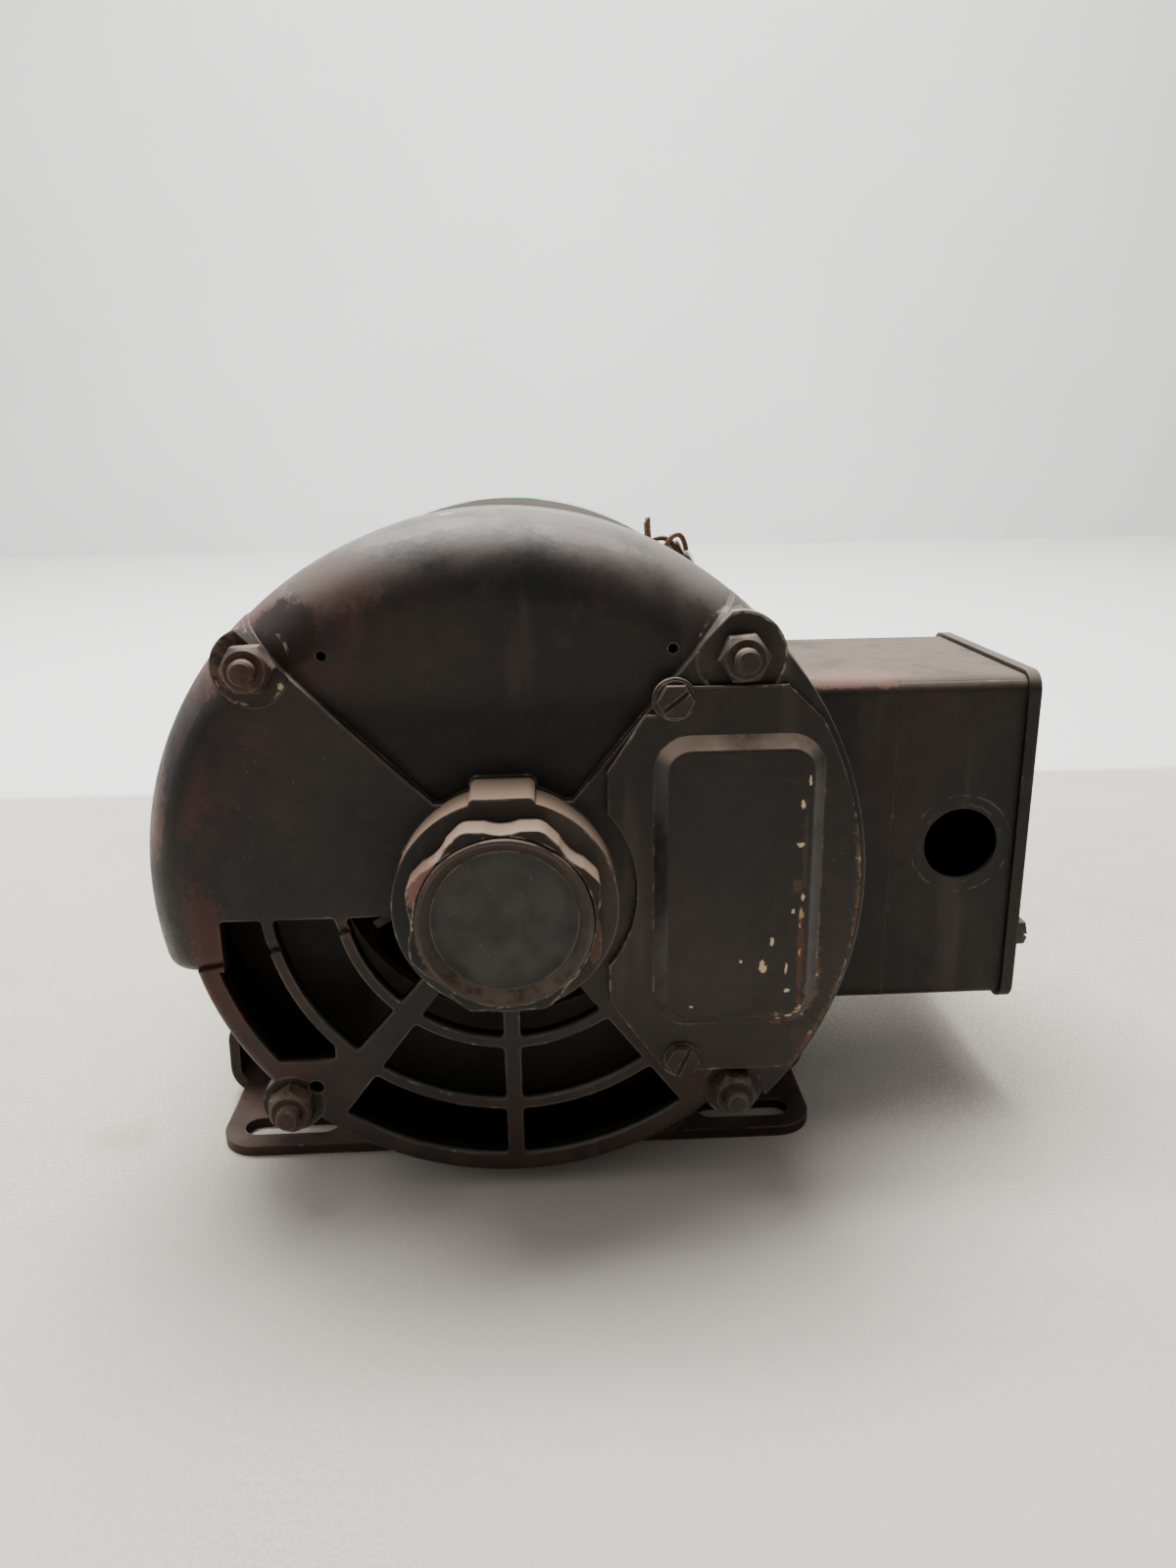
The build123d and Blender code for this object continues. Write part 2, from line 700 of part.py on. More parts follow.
with BuildPart() as wave_spring:
    disc(-90.7, -90.1, 19.6, 15.6)
    with BuildSketch(cross_plane(-89.1)):
        with PolarLocations(17.6, 3):
            Circle(1.2)
    extrude(amount=1.5)
save(wave_spring, "wave_spring")

with BuildPart() as bearing_snap_ring:
    disc(95.65, 96.8, front_journal + 1.9, front_journal - 0.7)
    with BuildSketch(cross_plane(97.5)):
        with Locations((0, -front_journal - 1)):
            Rectangle(5, 6)
    extrude(amount=3, mode=Mode.SUBTRACT)
save(bearing_snap_ring, "bearing_snap_ring")

with BuildPart() as inner_bearing_cap:
    disc(73.0, 75.9, 34.0, 16.2)
    disc(75.9, 79.9, 25.9, 22.5)
    with BuildSketch(cross_plane(76)):
        with PolarLocations(30.5, 3, start_angle=90):
            Circle(1.8)
    extrude(amount=4, mode=Mode.SUBTRACT)
save(inner_bearing_cap, "inner_bearing_cap")

with BuildPart() as bearing_cap_screws:
    with BuildSketch(cross_plane(front_hub_end + 3.0)):
        with PolarLocations(30.5, 3, start_angle=90):
            RegularPolygon(3.97, 6, major_radius=False)
    extrude(amount=2.98)
    with BuildSketch(cross_plane(front_hub_end + 0.5)):
        with PolarLocations(30.5, 3, start_angle=90):
            Circle(1.75)
    extrude(amount=front_hub_end - 73.5)
save(bearing_cap_screws, "bearing_cap_screws")

with BuildPart() as shaft_slinger:
    disc(101.6, 103.4, 21.0, front_journal + 0.02)
    disc(103.4, 107.2, 16.0, front_journal + 0.02)
    chamfer(shaft_slinger.edges().filter_by(GeomType.CIRCLE).sort_by(Axis.Y)[-1], 0.8)
save(shaft_slinger, "shaft_slinger")


# ---- air baffles -------------------------------------------------------------------------------
def baffle(y, lip_end, inner, outer, name):
    """Sheet ring that turns the cooling air from the fan blades over the end windings."""
    with BuildPart() as ring:
        disc(y, y + 1.0, outer, inner)
        disc(min(y, lip_end), max(y, lip_end), inner + 1.0, inner)
        with BuildSketch(cross_plane(y + 2)):
            with Locations(*bolt_points):
                Circle(9.4)
        extrude(amount=3, mode=Mode.SUBTRACT)
        with BuildSketch(cross_plane(y + 2)):
            with Locations((0, -far / 2 - shaft_height + 9.5)):
                Rectangle(far, far)
        extrude(amount=3, mode=Mode.SUBTRACT)
    save(ring, name)


baffle(-51.0, -46.5, 49.5, 83.4, "rear_baffle")


# ---- conduit box -------------------------------------------------------------------------------
box_centre_y = (box_rear + box_front) / 2
box_centre_z = (box_floor + box_top) / 2
box_length = box_front - box_rear
box_height = box_top - box_floor
lead_hole_radius = 14.0
box_corner = 4.5
mount_screws = [(box_centre_y + dy, box_centre_z + dz) for dy in (-26, 26) for dz in (-36, 36)]


def side_plane(x):
    """A plane facing +X: local x is +Y, local y is up."""
    return Plane.YZ.offset(x)


cover_screws = [(box_rear + 5.8, box_floor + 19.5), (box_front - 5.8, box_top - 12)]


def box_section(shrink=0.0):
    """Outline of the conduit box seen from its cover side."""
    with Locations((box_centre_y, box_centre_z)):
        RectangleRounded(box_length - 2 * shrink, box_height - 2 * shrink, box_corner - shrink)


with BuildPart() as conduit_box_adapter:
    with BuildSketch(side_plane(40)):
        box_section()
    extrude(amount=box_seam - 40)
    with BuildSketch(side_plane(40)):
        box_section(box_wall)
    extrude(amount=box_seam - box_wall - 40, mode=Mode.SUBTRACT)
    # saddle edge that follows the frame, clear of the rear bell
    disc(shell_rear - 30, shell_front + 30, shell_radius + 0.03, mode=Mode.SUBTRACT)
    disc(shell_rear - 30, rear_rim + 0.3, hood_radius + 0.3, mode=Mode.SUBTRACT)
    # room for the side wing of the base
    with BuildSketch(side_plane(40)):
        with Locations((0, box_floor)):
            Rectangle(wing_length + 2, 44)
    extrude(amount=54.5, mode=Mode.SUBTRACT)
    with BuildSketch(side_plane(box_seam - box_wall)):
        with Locations((box_centre_y, box_centre_z)):
            Circle(lead_hole_radius)
        with Locations(*mount_screws):
            Circle(1.9)
    extrude(amount=box_wall, mode=Mode.SUBTRACT)
save(conduit_box_adapter, "conduit_box_adapter")


def cover_tab(screw, inward):
    """Bent tab inside the open side of the box that takes one cover screw."""
    with BuildSketch(side_plane(box_open - 2.0)) as tab:
        with Locations((screw[0] + 1.6 * inward, screw[1])):
            RectangleRounded(13, 12, 1.5)
        with Locations(screw):
            Circle(1.9, mode=Mode.SUBTRACT)
    extrude(tab.sketch, amount=box_wall)


with BuildPart() as box_shell:
    with BuildSketch(side_plane(box_seam + 0.02)):
        box_section()
    extrude(amount=box_open - box_seam - 0.02)
    with BuildSketch(side_plane(box_seam + box_wall)):
        box_section(box_wall)
    extrude(amount=box_open - box_seam, mode=Mode.SUBTRACT)
    with BuildSketch(side_plane(box_seam)):
        with Locations((box_centre_y, box_centre_z)):
            Circle(lead_hole_radius)
        with Locations(*mount_screws):
            Circle(2.2)
    extrude(amount=box_wall, mode=Mode.SUBTRACT)
    with BuildSketch(Plane.XZ.offset(-box_rear - box_wall - 1)):
        with Locations((knockout_x, knockout_z)):
            Circle(knockout_radius)
    extrude(amount=box_wall + 2, mode=Mode.SUBTRACT)
    # scored ring of the unused knockout in the far wall
    with BuildSketch(Plane.XZ.offset(-box_front - 0.1)):
        with Locations((knockout_x, knockout_z)):
            Circle(knockout_radius)
            Circle(knockout_radius - 0.9, mode=Mode.SUBTRACT)
    extrude(amount=0.5, mode=Mode.SUBTRACT)

# the wall with the conduit opening is an end plate, welded to the folded rest of the box
end_seam = box_rear + box_wall
with BuildPart() as conduit_box:
    add(box_shell.part)
    with BuildSketch(Plane.XZ.offset(-end_seam - 0.01)):
        Rectangle(far * 2, far * 2)
    extrude(amount=far, mode=Mode.SUBTRACT)
    cover_tab(cover_screws[1], -1)
save(conduit_box, "conduit_box")

with BuildPart() as conduit_box_end:
    add(box_shell.part)
    with BuildSketch(Plane.XZ.offset(-end_seam + 0.01)):
        Rectangle(far * 2, far * 2)
    extrude(amount=far, mode=Mode.INTERSECT)
    cover_tab(cover_screws[0], 1)
save(conduit_box_end, "conduit_box_end")

with BuildPart() as conduit_box_gasket:
    with BuildSketch(side_plane(box_open + 0.02)):
        box_section(0.4)
        with Locations((box_centre_y, box_centre_z)):
            Rectangle(box_length - 6.6, box_height - 8, mode=Mode.SUBTRACT)
    extrude(amount=0.76)
save(conduit_box_gasket, "conduit_box_gasket")

cover_inside = box_open + 0.8
cover_overhang = 1.4
cover_clearance = 0.25
cover_lip = 2.4
head_height = 4.6
with BuildPart() as conduit_box_cover:
    with BuildSketch(side_plane(cover_inside)):
        box_section(-cover_overhang)
    extrude(amount=1.2)
    with BuildSketch(side_plane(cover_inside - cover_lip)):
        box_section(-cover_overhang)
        with Locations((box_centre_y, box_centre_z)):
            RectangleRounded(box_length + 2 * cover_clearance, box_height + 2 * cover_clearance,
                             box_corner + cover_clearance, mode=Mode.SUBTRACT)
    extrude(amount=cover_lip)
    with BuildSketch(side_plane(cover_inside - 1)):
        with Locations(*cover_screws):
            Circle(2.2)
    extrude(amount=4, mode=Mode.SUBTRACT)
save(conduit_box_cover, "conduit_box_cover")

with BuildPart() as conduit_cover_screws:
    with BuildSketch(side_plane(cover_inside + 1.22)):
        with Locations(*cover_screws):
            Circle(4.4)
    extrude(amount=0.8)
    with BuildSketch(side_plane(cover_inside + 1.22)):
        with Locations(*cover_screws):
            RegularPolygon(3.6, 6, major_radius=False)
    extrude(amount=head_height)
    with BuildSketch(side_plane(cover_inside - 9)):
        with Locations(*cover_screws):
            Circle(1.85)
    extrude(amount=10.5)
    with BuildSketch(side_plane(cover_inside + head_height)):
        with Locations(*cover_screws):
            Rectangle(9, 1.0)
    extrude(amount=2, mode=Mode.SUBTRACT)
save(conduit_cover_screws, "conduit_cover_screws")

with BuildPart() as conduit_box_screws:
    with BuildSketch(side_plane(box_seam + box_wall + 0.02)):
        with Locations(*mount_screws):
            Circle(3.4)
    extrude(amount=2.2)
    with BuildSketch(side_plane(box_seam - 6)):
        with Locations(*mount_screws):
            Circle(1.8)
    extrude(amount=6 + box_wall + 0.5)
save(conduit_box_screws, "conduit_box_screws")

with BuildPart() as lead_grommet:
    with BuildSketch(side_plane(box_seam - box_wall - 1.8)):
        with Locations((box_centre_y, box_centre_z)):
            Circle(lead_hole_radius + 2)
    extrude(amount=1.75)
    with BuildSketch(side_plane(box_seam + box_wall + 0.05)):
        with Locations((box_centre_y, box_centre_z)):
            Circle(lead_hole_radius + 2)
    extrude(amount=1.75)
    with BuildSketch(side_plane(box_seam - box_wall - 1)):
        with Locations((box_centre_y, box_centre_z)):
            Circle(lead_hole_radius - 0.05)
    extrude(amount=2 * box_wall + 2)
    with BuildSketch(side_plane(box_seam - 10)):
        with Locations((box_centre_y, box_centre_z)):
            Circle(10)
    extrude(amount=20, mode=Mode.SUBTRACT)
save(lead_grommet, "lead_grommet")


# ---- leads and ground screw --------------------------------------------------------------------
lead_radius = 1.5
lead_start = 92.0
lead_bend_x = 123.0
lead_angles = (90, 210, 330)
lead_drops = (14, 23, 23)


def lead_end(angle):
    """Place of one lead in the box, on a small circle about the grommet's middle."""
    return (box_centre_y + 5.5 * cos(radians(angle)), box_centre_z + 5.5 * sin(radians(angle)))


with BuildPart() as lead_wires:
    for drop, angle in zip(lead_drops, lead_angles):
        y, z = lead_end(angle)
        bend_x = lead_bend_x + drop / 12
        with BuildLine() as route:
            FilletPolyline((lead_start, y, z), (bend_x, y, z), (bend_x, y, z - drop), radius=8)
        with BuildSketch(Plane(origin=(lead_start, y, z), z_dir=(1, 0, 0))):
            Circle(lead_radius)
        sweep(path=route.line)
save(lead_wires, "lead_wires")

with BuildPart() as wire_nuts:
    for drop, angle in zip(lead_drops, lead_angles):
        y, z = lead_end(angle)
        cap = Plane(origin=(lead_bend_x + drop / 12, y, z - drop - 0.05), x_dir=(1, 0, 0), z_dir=(0, 0, -1))
        with BuildSketch(cap):
            Circle(3.0)
        with BuildSketch(cap.offset(14)):
            Circle(1.9)
        loft()
save(wire_nuts, "wire_nuts")

with BuildPart() as ground_screw:
    ground = (box_centre_y + 8, box_floor + box_wall + 8)
    with BuildSketch(side_plane(box_seam + box_wall + 0.02)):
        with Locations(ground):
            RegularPolygon(4.0, 6, major_radius=False)
    extrude(amount=3)
save(ground_screw, "ground_screw")


# ---- plates and labels on the frame -------------------------------------------------------------
plate_low, plate_high = 2.0, 66.0
with BuildPart() as nameplate:
    add(sector([(plate_low, shell_radius + 0.03), (plate_low, shell_radius + 0.6),
                (plate_high, shell_radius + 0.6), (plate_high, shell_radius + 0.03)], 150, 178))
save(nameplate, "nameplate")

with BuildPart() as nameplate_rivets:
    for y in (plate_low + 3, plate_high - 3):
        for angle in (152, 176):
            radial = Plane(origin=(0, y, shaft_height),
                           z_dir=(cos(radians(angle)), 0, sin(radians(angle)))).offset(shell_radius + 0.62)
            with BuildSketch(radial):
                Circle(1.6)
            extrude(amount=1.1, taper=20)
save(nameplate_rivets, "nameplate_rivets")

with BuildPart() as top_label:
    add(sector([(front_rim + 1, front_radius + 0.02), (front_rim + 1, front_radius + 0.2),
                (front_rim + 12, front_radius + 0.2), (front_rim + 12, front_radius + 0.02)], 83, 99))
save(top_label, "top_label")
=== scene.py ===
"""Looks for the open drip-proof motor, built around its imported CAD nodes. Metres, +Z up, shaft along +Y."""

import math
import random

import bpy
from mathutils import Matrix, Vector


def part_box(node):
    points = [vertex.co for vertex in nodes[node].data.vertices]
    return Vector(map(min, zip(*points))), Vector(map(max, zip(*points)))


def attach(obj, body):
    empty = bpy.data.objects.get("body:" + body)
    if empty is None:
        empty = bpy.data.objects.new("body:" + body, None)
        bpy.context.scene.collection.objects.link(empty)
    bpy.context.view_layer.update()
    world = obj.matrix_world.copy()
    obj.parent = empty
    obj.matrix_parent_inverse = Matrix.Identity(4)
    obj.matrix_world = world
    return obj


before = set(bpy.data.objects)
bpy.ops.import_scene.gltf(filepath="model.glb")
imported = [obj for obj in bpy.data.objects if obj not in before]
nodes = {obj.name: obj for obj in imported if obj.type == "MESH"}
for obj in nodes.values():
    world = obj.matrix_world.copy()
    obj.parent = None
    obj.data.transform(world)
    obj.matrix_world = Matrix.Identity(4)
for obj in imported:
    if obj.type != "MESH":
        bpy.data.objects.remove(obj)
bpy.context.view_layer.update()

# Driving places of the motor, which the materials follow: the shaft's height, the outer faces of the two
# bells, the through bolts' distance from the shaft along x and along z, and a radius just past the inside
# of the shell.
SHAFT_Z = 0.0889
FACE_Y = -0.0810
FAR_FACE_Y = 0.0970
BOLT_OFFSET = 0.0598
INSIDE_RADIUS = 0.0888


# ---- node graphs ---------------------------------------------------------------------------------
class Graph:
    """Builds one material's node tree with short calls; a socket is passed around as a value."""

    def __init__(self, name):
        self.material = bpy.data.materials.new(name)
        self.material.use_nodes = True
        self.tree = self.material.node_tree
        self.tree.nodes.clear()
        self.out = self.tree.nodes.new("ShaderNodeOutputMaterial")
        coords = self.tree.nodes.new("ShaderNodeTexCoord")
        self.place = coords.outputs["Object"]
        self.facing = coords.outputs["Normal"]
        self.axes = self.split(self.place)
        self.up = self.split(self.facing)[2]

    def feed(self, socket, value):
        if isinstance(value, bpy.types.NodeSocket):
            self.tree.links.new(value, socket)
        elif isinstance(value, (tuple, list)) and len(value) == 3 and len(socket.default_value) == 4:
            socket.default_value = (*value, 1.0)
        else:
            socket.default_value = value

    def split(self, vector):
        node = self.tree.nodes.new("ShaderNodeSeparateXYZ")
        self.feed(node.inputs[0], vector)
        return node.outputs[0], node.outputs[1], node.outputs[2]

    def math(self, kind, a, b=0.0, c=0.0, clamp=False):
        node = self.tree.nodes.new("ShaderNodeMath")
        node.operation = kind
        node.use_clamp = clamp
        for socket, value in zip(node.inputs, (a, b, c)):
            self.feed(socket, value)
        return node.outputs[0]

    def times(self, *values):
        result = values[0]
        for value in values[1:]:
            result = self.math("MULTIPLY", result, value)
        return result

    def step(self, value, low, high, to_low=0.0, to_high=1.0):
        """Smooth rise from to_low to to_high as value goes from low to high."""
        node = self.tree.nodes.new("ShaderNodeMapRange")
        node.interpolation_type = "SMOOTHSTEP"
        for socket, number in zip(node.inputs[:5], (value, low, high, to_low, to_high)):
            self.feed(socket, number)
        return node.outputs[0]

    def mix(self, factor, a, b):
        node = self.tree.nodes.new("ShaderNodeMix")
        node.data_type = "RGBA"
        self.feed(node.inputs[0], factor)
        self.feed(node.inputs[6], a)
        self.feed(node.inputs[7], b)
        return node.outputs[2]

    def stretched(self, scale, turn=(0, 0, 0)):
        """Object coordinates scaled, so that a pattern on them is long where the scale is small."""
        node = self.tree.nodes.new("ShaderNodeMapping")
        self.feed(node.inputs["Vector"], self.place)
        node.inputs["Rotation"].default_value = turn
        node.inputs["Scale"].default_value = scale
        return node.outputs[0]

    def off_axis(self, x, z):
        """Distance from a line along the shaft's direction through x and z."""
        squares = [self.math("POWER", self.math("SUBTRACT", axis, centre), 2.0)
                   for axis, centre in ((self.axes[0], x), (self.axes[2], z))]
        return self.math("SQRT", self.math("ADD", *squares))

    def noise(self, scale, detail=4.0, rough=0.55, where=None):
        node = self.tree.nodes.new("ShaderNodeTexNoise")
        self.feed(node.inputs["Vector"], where or self.place)
        node.inputs["Scale"].default_value = scale
        node.inputs["Detail"].default_value = detail
        node.inputs["Roughness"].default_value = rough
        return node.outputs[0]

    def cells(self, scale, where=None):
        node = self.tree.nodes.new("ShaderNodeTexVoronoi")
        self.feed(node.inputs["Vector"], where or self.place)
        node.inputs["Scale"].default_value = scale
        return node.outputs[0]

    def spot(self, centre, radius, ragged=0.35, scale=160.0, stretch=(1, 1, 1), soft=0.3):
        """1 inside a ragged blob about a point; stretch multiplies the radius along each axis."""
        node = self.tree.nodes.new("ShaderNodeVectorMath")
        node.operation = "SUBTRACT"
        self.feed(node.inputs[0], self.place)
        node.inputs[1].default_value = centre
        across = self.tree.nodes.new("ShaderNodeVectorMath")
        across.operation = "DIVIDE"
        self.feed(across.inputs[0], node.outputs[0])
        across.inputs[1].default_value = [radius * s for s in stretch]
        length = self.tree.nodes.new("ShaderNodeVectorMath")
        length.operation = "LENGTH"
        self.feed(length.inputs[0], across.outputs[0])
        wobble = self.math("MULTIPLY_ADD", self.noise(scale, 5, 0.75), 3.6 * ragged, -1.8 * ragged)
        return self.step(self.math("ADD", length.outputs["Value"], wobble), 1.0, 1.0 - soft)

    def rounded_normal(self, radius):
        node = self.tree.nodes.new("ShaderNodeBevel")
        node.samples = 4
        node.inputs["Radius"].default_value = radius
        return node.outputs[0]

    def edges(self, radius=0.0011, low=0.02, high=0.2):
        """1 along sharp edges, from the difference between the rounded and the true normal."""
        flat = self.tree.nodes.new("ShaderNodeNewGeometry")
        dot = self.tree.nodes.new("ShaderNodeVectorMath")
        dot.operation = "DOT_PRODUCT"
        self.feed(dot.inputs[0], self.rounded_normal(radius))
        self.feed(dot.inputs[1], flat.outputs["Normal"])
        return self.step(self.math("SUBTRACT", 1.0, dot.outputs["Value"]), low, high)

    def bump(self, height, strength, distance, soft_edges=0.0):
        node = self.tree.nodes.new("ShaderNodeBump")
        node.inputs["Strength"].default_value = strength
        node.inputs["Distance"].default_value = distance
        self.feed(node.inputs["Height"], height)
        if soft_edges:
            self.feed(node.inputs["Normal"], self.rounded_normal(soft_edges))
        return node.outputs[0]

    def shade(self, colour, roughness, metallic=0.0, normal=None, **constants):
        """Finish the material; constants are further inputs of the shader, with _ for each space."""
        shader = self.tree.nodes.new("ShaderNodeBsdfPrincipled")
        self.feed(shader.inputs["Base Color"], colour)
        self.feed(shader.inputs["Roughness"], roughness)
        self.feed(shader.inputs["Metallic"], metallic)
        if normal is not None:
            self.feed(shader.inputs["Normal"], normal)
        for key, value in constants.items():
            shader.inputs[key.replace("_", " ")].default_value = value
        self.tree.links.new(shader.outputs[0], self.out.inputs[0])
        return self.material


# ---- colours, linear -----------------------------------------------------------------------------
CHARCOAL = (0.0118, 0.0124, 0.0130)
CHARCOAL_WARM = (0.0235, 0.0195, 0.0165)
PRIMER = (0.070, 0.024, 0.020)
DUST = (0.23, 0.165, 0.125)
PALE_DUST = (0.42, 0.40, 0.37)
RUST = (0.075, 0.033, 0.018)
RUST_DARK = (0.030, 0.015, 0.010)
THICK_DUST = (0.40, 0.285, 0.205)
BARE = (0.55, 0.52, 0.48)
CREAM = (0.60, 0.45, 0.29)


def marked(g, colour, marks):
    """Spots of other colours, each (centre, radius, stretch, colour, strength, ragged)."""
    for centre, radius, stretch, spot_colour, strength, ragged in marks:
        area = g.spot(centre, radius, ragged=ragged, scale=max(260, 1.0 / radius), stretch=stretch, soft=0.25)
        colour = g.mix(g.times(area, strength), colour, spot_colour)
    return colour


def ringed(g, colour, rings):
    """Broken thin circles seen along the shaft, each ((x, z), radius, width, colour, strength, level)."""
    waver = 0.0012
    for (x, z), radius, width, ring_colour, strength, level in rings:
        wavering = g.math("ADD", g.off_axis(x, z), g.times(g.noise(420, 4, 0.7), waver))
        off = g.math("ABSOLUTE", g.math("SUBTRACT", wavering, radius + waver / 2))
        line = g.times(g.step(off, width, 0.4 * width), g.step(g.noise(150, 4, 0.65), level, level + 0.10))
        colour = g.mix(g.times(line, strength), colour, ring_colour)
    return colour


def flaked(g, colour, zones):
    """Flaking along the edges in (centre, radius, stretch) zones: brown metal with cream undercoat in it."""
    for centre, radius, stretch in zones:
        border = g.edges(0.0024, 0.006, 0.06)
        area = g.times(g.spot(centre, radius, ragged=0.3, scale=60, stretch=stretch, soft=0.5), border)
        bare = g.times(area, g.step(g.noise(260, 6, 0.75), 0.42, 0.50))
        metal = g.mix(g.step(g.noise(500, 4, 0.7), 0.4, 0.6), RUST_DARK, (0.20, 0.095, 0.045))
        colour = g.mix(g.times(bare, 0.9), colour, metal)
        cream = g.times(area, g.step(g.noise(330, 5, 0.75), 0.57, 0.61))
        colour = g.mix(g.times(cream, 0.85), colour, CREAM)
    return colour


def worn_paint(name, tint=(1, 1, 1), dust=0.75, dust_colour=DUST, even=0.0, blush=(), pale_top=0.0,
               rust_low=0.0, crown=0.0, hub_dust=False, ridge_highlight=0.0, marks=(), rings=(), inside_shade=False,
               rub=0.75, chips=0.5, chip_colour=BARE, chip_level=0.60, quiet=(), zones=(), gloss=0.0):
    """Old enamel: faded in patches, primer showing, dust on what faces up, chipped and rubbed on its edges.

    tint scales the enamel's colours and gloss lowers its roughness. dust, pale_top, rust_low, crown, ridges,
    rub and chips are strengths from 0 to 1; even spreads the dust, and chips grow as chip_level falls. blush is
    spots of primer, each (centre, radius, strength), and quiet is places with no edge wear, each (centre,
    radius). For marks, rings and zones see the functions above."""
    g = Graph(name)
    cloud = g.noise(14, 5, 0.6)
    fine = g.noise(140, 5, 0.65)
    dark = tuple(c * t for c, t in zip(CHARCOAL, tint))
    warm = tuple(c * t for c, t in zip(CHARCOAL_WARM, tint))
    colour = g.mix(g.step(cloud, 0.40, 0.66), dark, warm)
    colour = g.mix(g.times(g.step(fine, 0.5, 0.75), 0.35), colour, tuple(c * 1.9 for c in warm))
    for centre, radius, strength in blush:
        area = g.spot(centre, radius, ragged=0.5, scale=45, soft=0.9)
        broken = g.step(g.noise(75, 6, 0.7), 0.38, 0.66)
        colour = g.mix(g.times(area, broken, strength), colour, PRIMER)
    # thin streaks that run down the sides
    streak = g.step(g.noise(60, 3, 0.5, where=g.stretched((1.0, 1.0, 0.12))), 0.56, 0.76)
    colour = g.mix(g.times(streak, 0.16), colour, DUST)
    if rust_low:
        low = g.step(g.axes[2], 0.055, 0.0, 0.0, 1.0)
        colour = g.mix(g.times(low, g.step(g.noise(95, 5, 0.7), 0.35, 0.62), rust_low), colour, RUST)
    across = g.off_axis(0.0, SHAFT_Z)
    # dust lies where the surface faces up
    lying = g.times(g.step(g.up, 0.18, 0.95), g.step(g.noise(52, 6, 0.68), 0.28 - even, 0.62 - even), dust)
    colour = g.mix(lying, colour, dust_colour)
    if pale_top:
        top = g.times(g.step(g.up, 0.42, 1.0), g.step(g.noise(30, 6, 0.68), 0.24, 0.60), pale_top)
        colour = g.mix(top, colour, (0.215, 0.195, 0.172))
    if crown:
        # painted light and old paper: the rim's edge, from the label round to the conduit box side, is painted
        # near white, for old paper and glue left on it and as painted light on this face, which lies in shade
        rim_depth = g.math("ADD", g.axes[1], g.times(cloud, 0.008))
        high = g.times(g.step(across, INSIDE_RADIUS - 0.0010, INSIDE_RADIUS),
                       g.step(g.axes[2], SHAFT_Z + 0.060, SHAFT_Z + 0.072), g.step(g.axes[0], -0.045, -0.025),
                       g.step(g.noise(65, 5, 0.65), 0.22, 0.40), g.step(rim_depth, 0.086, 0.081), crown)
        colour = g.mix(high, colour, (0.80, 0.80, 0.77))
    if hub_dust:
        thick = g.times(g.step(across, 0.0375, 0.0330), g.step(g.up, 0.10, 0.55), g.step(fine, 0.18, 0.34),
                        g.step(g.axes[1], FACE_Y + 0.012, FACE_Y + 0.004))
        colour = g.mix(thick, colour, THICK_DUST)
    if ridge_highlight:
        # painted highlight: the slopes of the pressed ridges are painted lighter, standing in for the light they
        # catch
        tilt = g.step(g.math("ABSOLUTE", g.split(g.facing)[1]), 0.985, 0.80)
        level = g.step(g.math("ABSOLUTE", g.up), 0.9, 0.5)
        side_on = g.times(tilt, level, g.step(g.noise(45, 5, 0.65), 0.28, 0.62))
        colour = g.mix(g.times(side_on, 0.55 * ridge_highlight), colour, (0.108, 0.104, 0.104))
        above = g.times(tilt, g.step(g.up, 0.15, 0.6), g.step(g.noise(60, 5, 0.65), 0.22, 0.55))
        colour = g.mix(g.times(above, ridge_highlight), colour, (0.36, 0.275, 0.215))
    colour = ringed(g, marked(g, colour, marks), rings)
    if inside_shade:
        # painted shade: what lies inside the housing, between the faces of the bells, is painted near black,
        # standing in for the shade inside it
        within = g.times(g.step(across, INSIDE_RADIUS, INSIDE_RADIUS - 0.0010),
                         g.step(g.axes[1], FACE_Y + 0.0004, FACE_Y + 0.0022),
                         g.step(g.axes[1], FAR_FACE_Y - 0.0005, FAR_FACE_Y - 0.0045),
                         g.step(g.axes[2], SHAFT_Z + 0.055, SHAFT_Z + 0.045))
        colour = g.mix(g.times(within, 0.96), colour, (0.006, 0.005, 0.0045))
    # rubbed and chipped edges
    edge = g.edges()
    for centre, radius in quiet:
        edge = g.times(edge, g.math("SUBTRACT", 1.0, g.spot(centre, radius, ragged=0.2, scale=80, soft=0.5)))
    rubbed = g.times(edge, g.step(g.noise(70, 5, 0.6), 0.30, 0.62), rub)
    colour = g.mix(rubbed, colour, (0.20, 0.155, 0.12))
    chip = g.times(edge, g.step(g.noise(210, 4, 0.6), chip_level, chip_level + 0.06), chips)
    colour = g.mix(chip, colour, chip_colour)
    colour = flaked(g, colour, zones)
    # hairline scratches
    lines = g.cells(34, where=g.stretched((1.0, 1.0, 0.06), turn=(0.2, 0.5, 0.1)))
    scratch = g.times(g.step(lines, 0.018, 0.006), g.step(g.noise(18, 2), 0.55, 0.7))
    colour = g.mix(g.times(scratch, 0.35), colour, (0.14, 0.12, 0.11))
    # bright specks
    speck = g.times(g.step(g.cells(430), 0.075, 0.035), g.step(g.noise(22, 3), 0.50, 0.66))
    colour = g.mix(g.times(speck, 0.55), colour, (0.30, 0.26, 0.22))
    rough = g.math("ADD", g.step(fine, 0.3, 0.7, 0.44 - gloss, 0.60 - gloss), g.times(lying, 0.3), clamp=True)
    dents = g.math("SUBTRACT", g.times(g.noise(120, 3), 0.8), g.times(chip, 1.2))
    height = g.math("ADD", g.noise(620, 4, 0.6), dents)
    normal = g.bump(height, 0.35, 0.00022, soft_edges=0.0006)
    return g.shade(colour, rough, g.times(chip, 0.4), normal, Specular_IOR_Level=0.24)


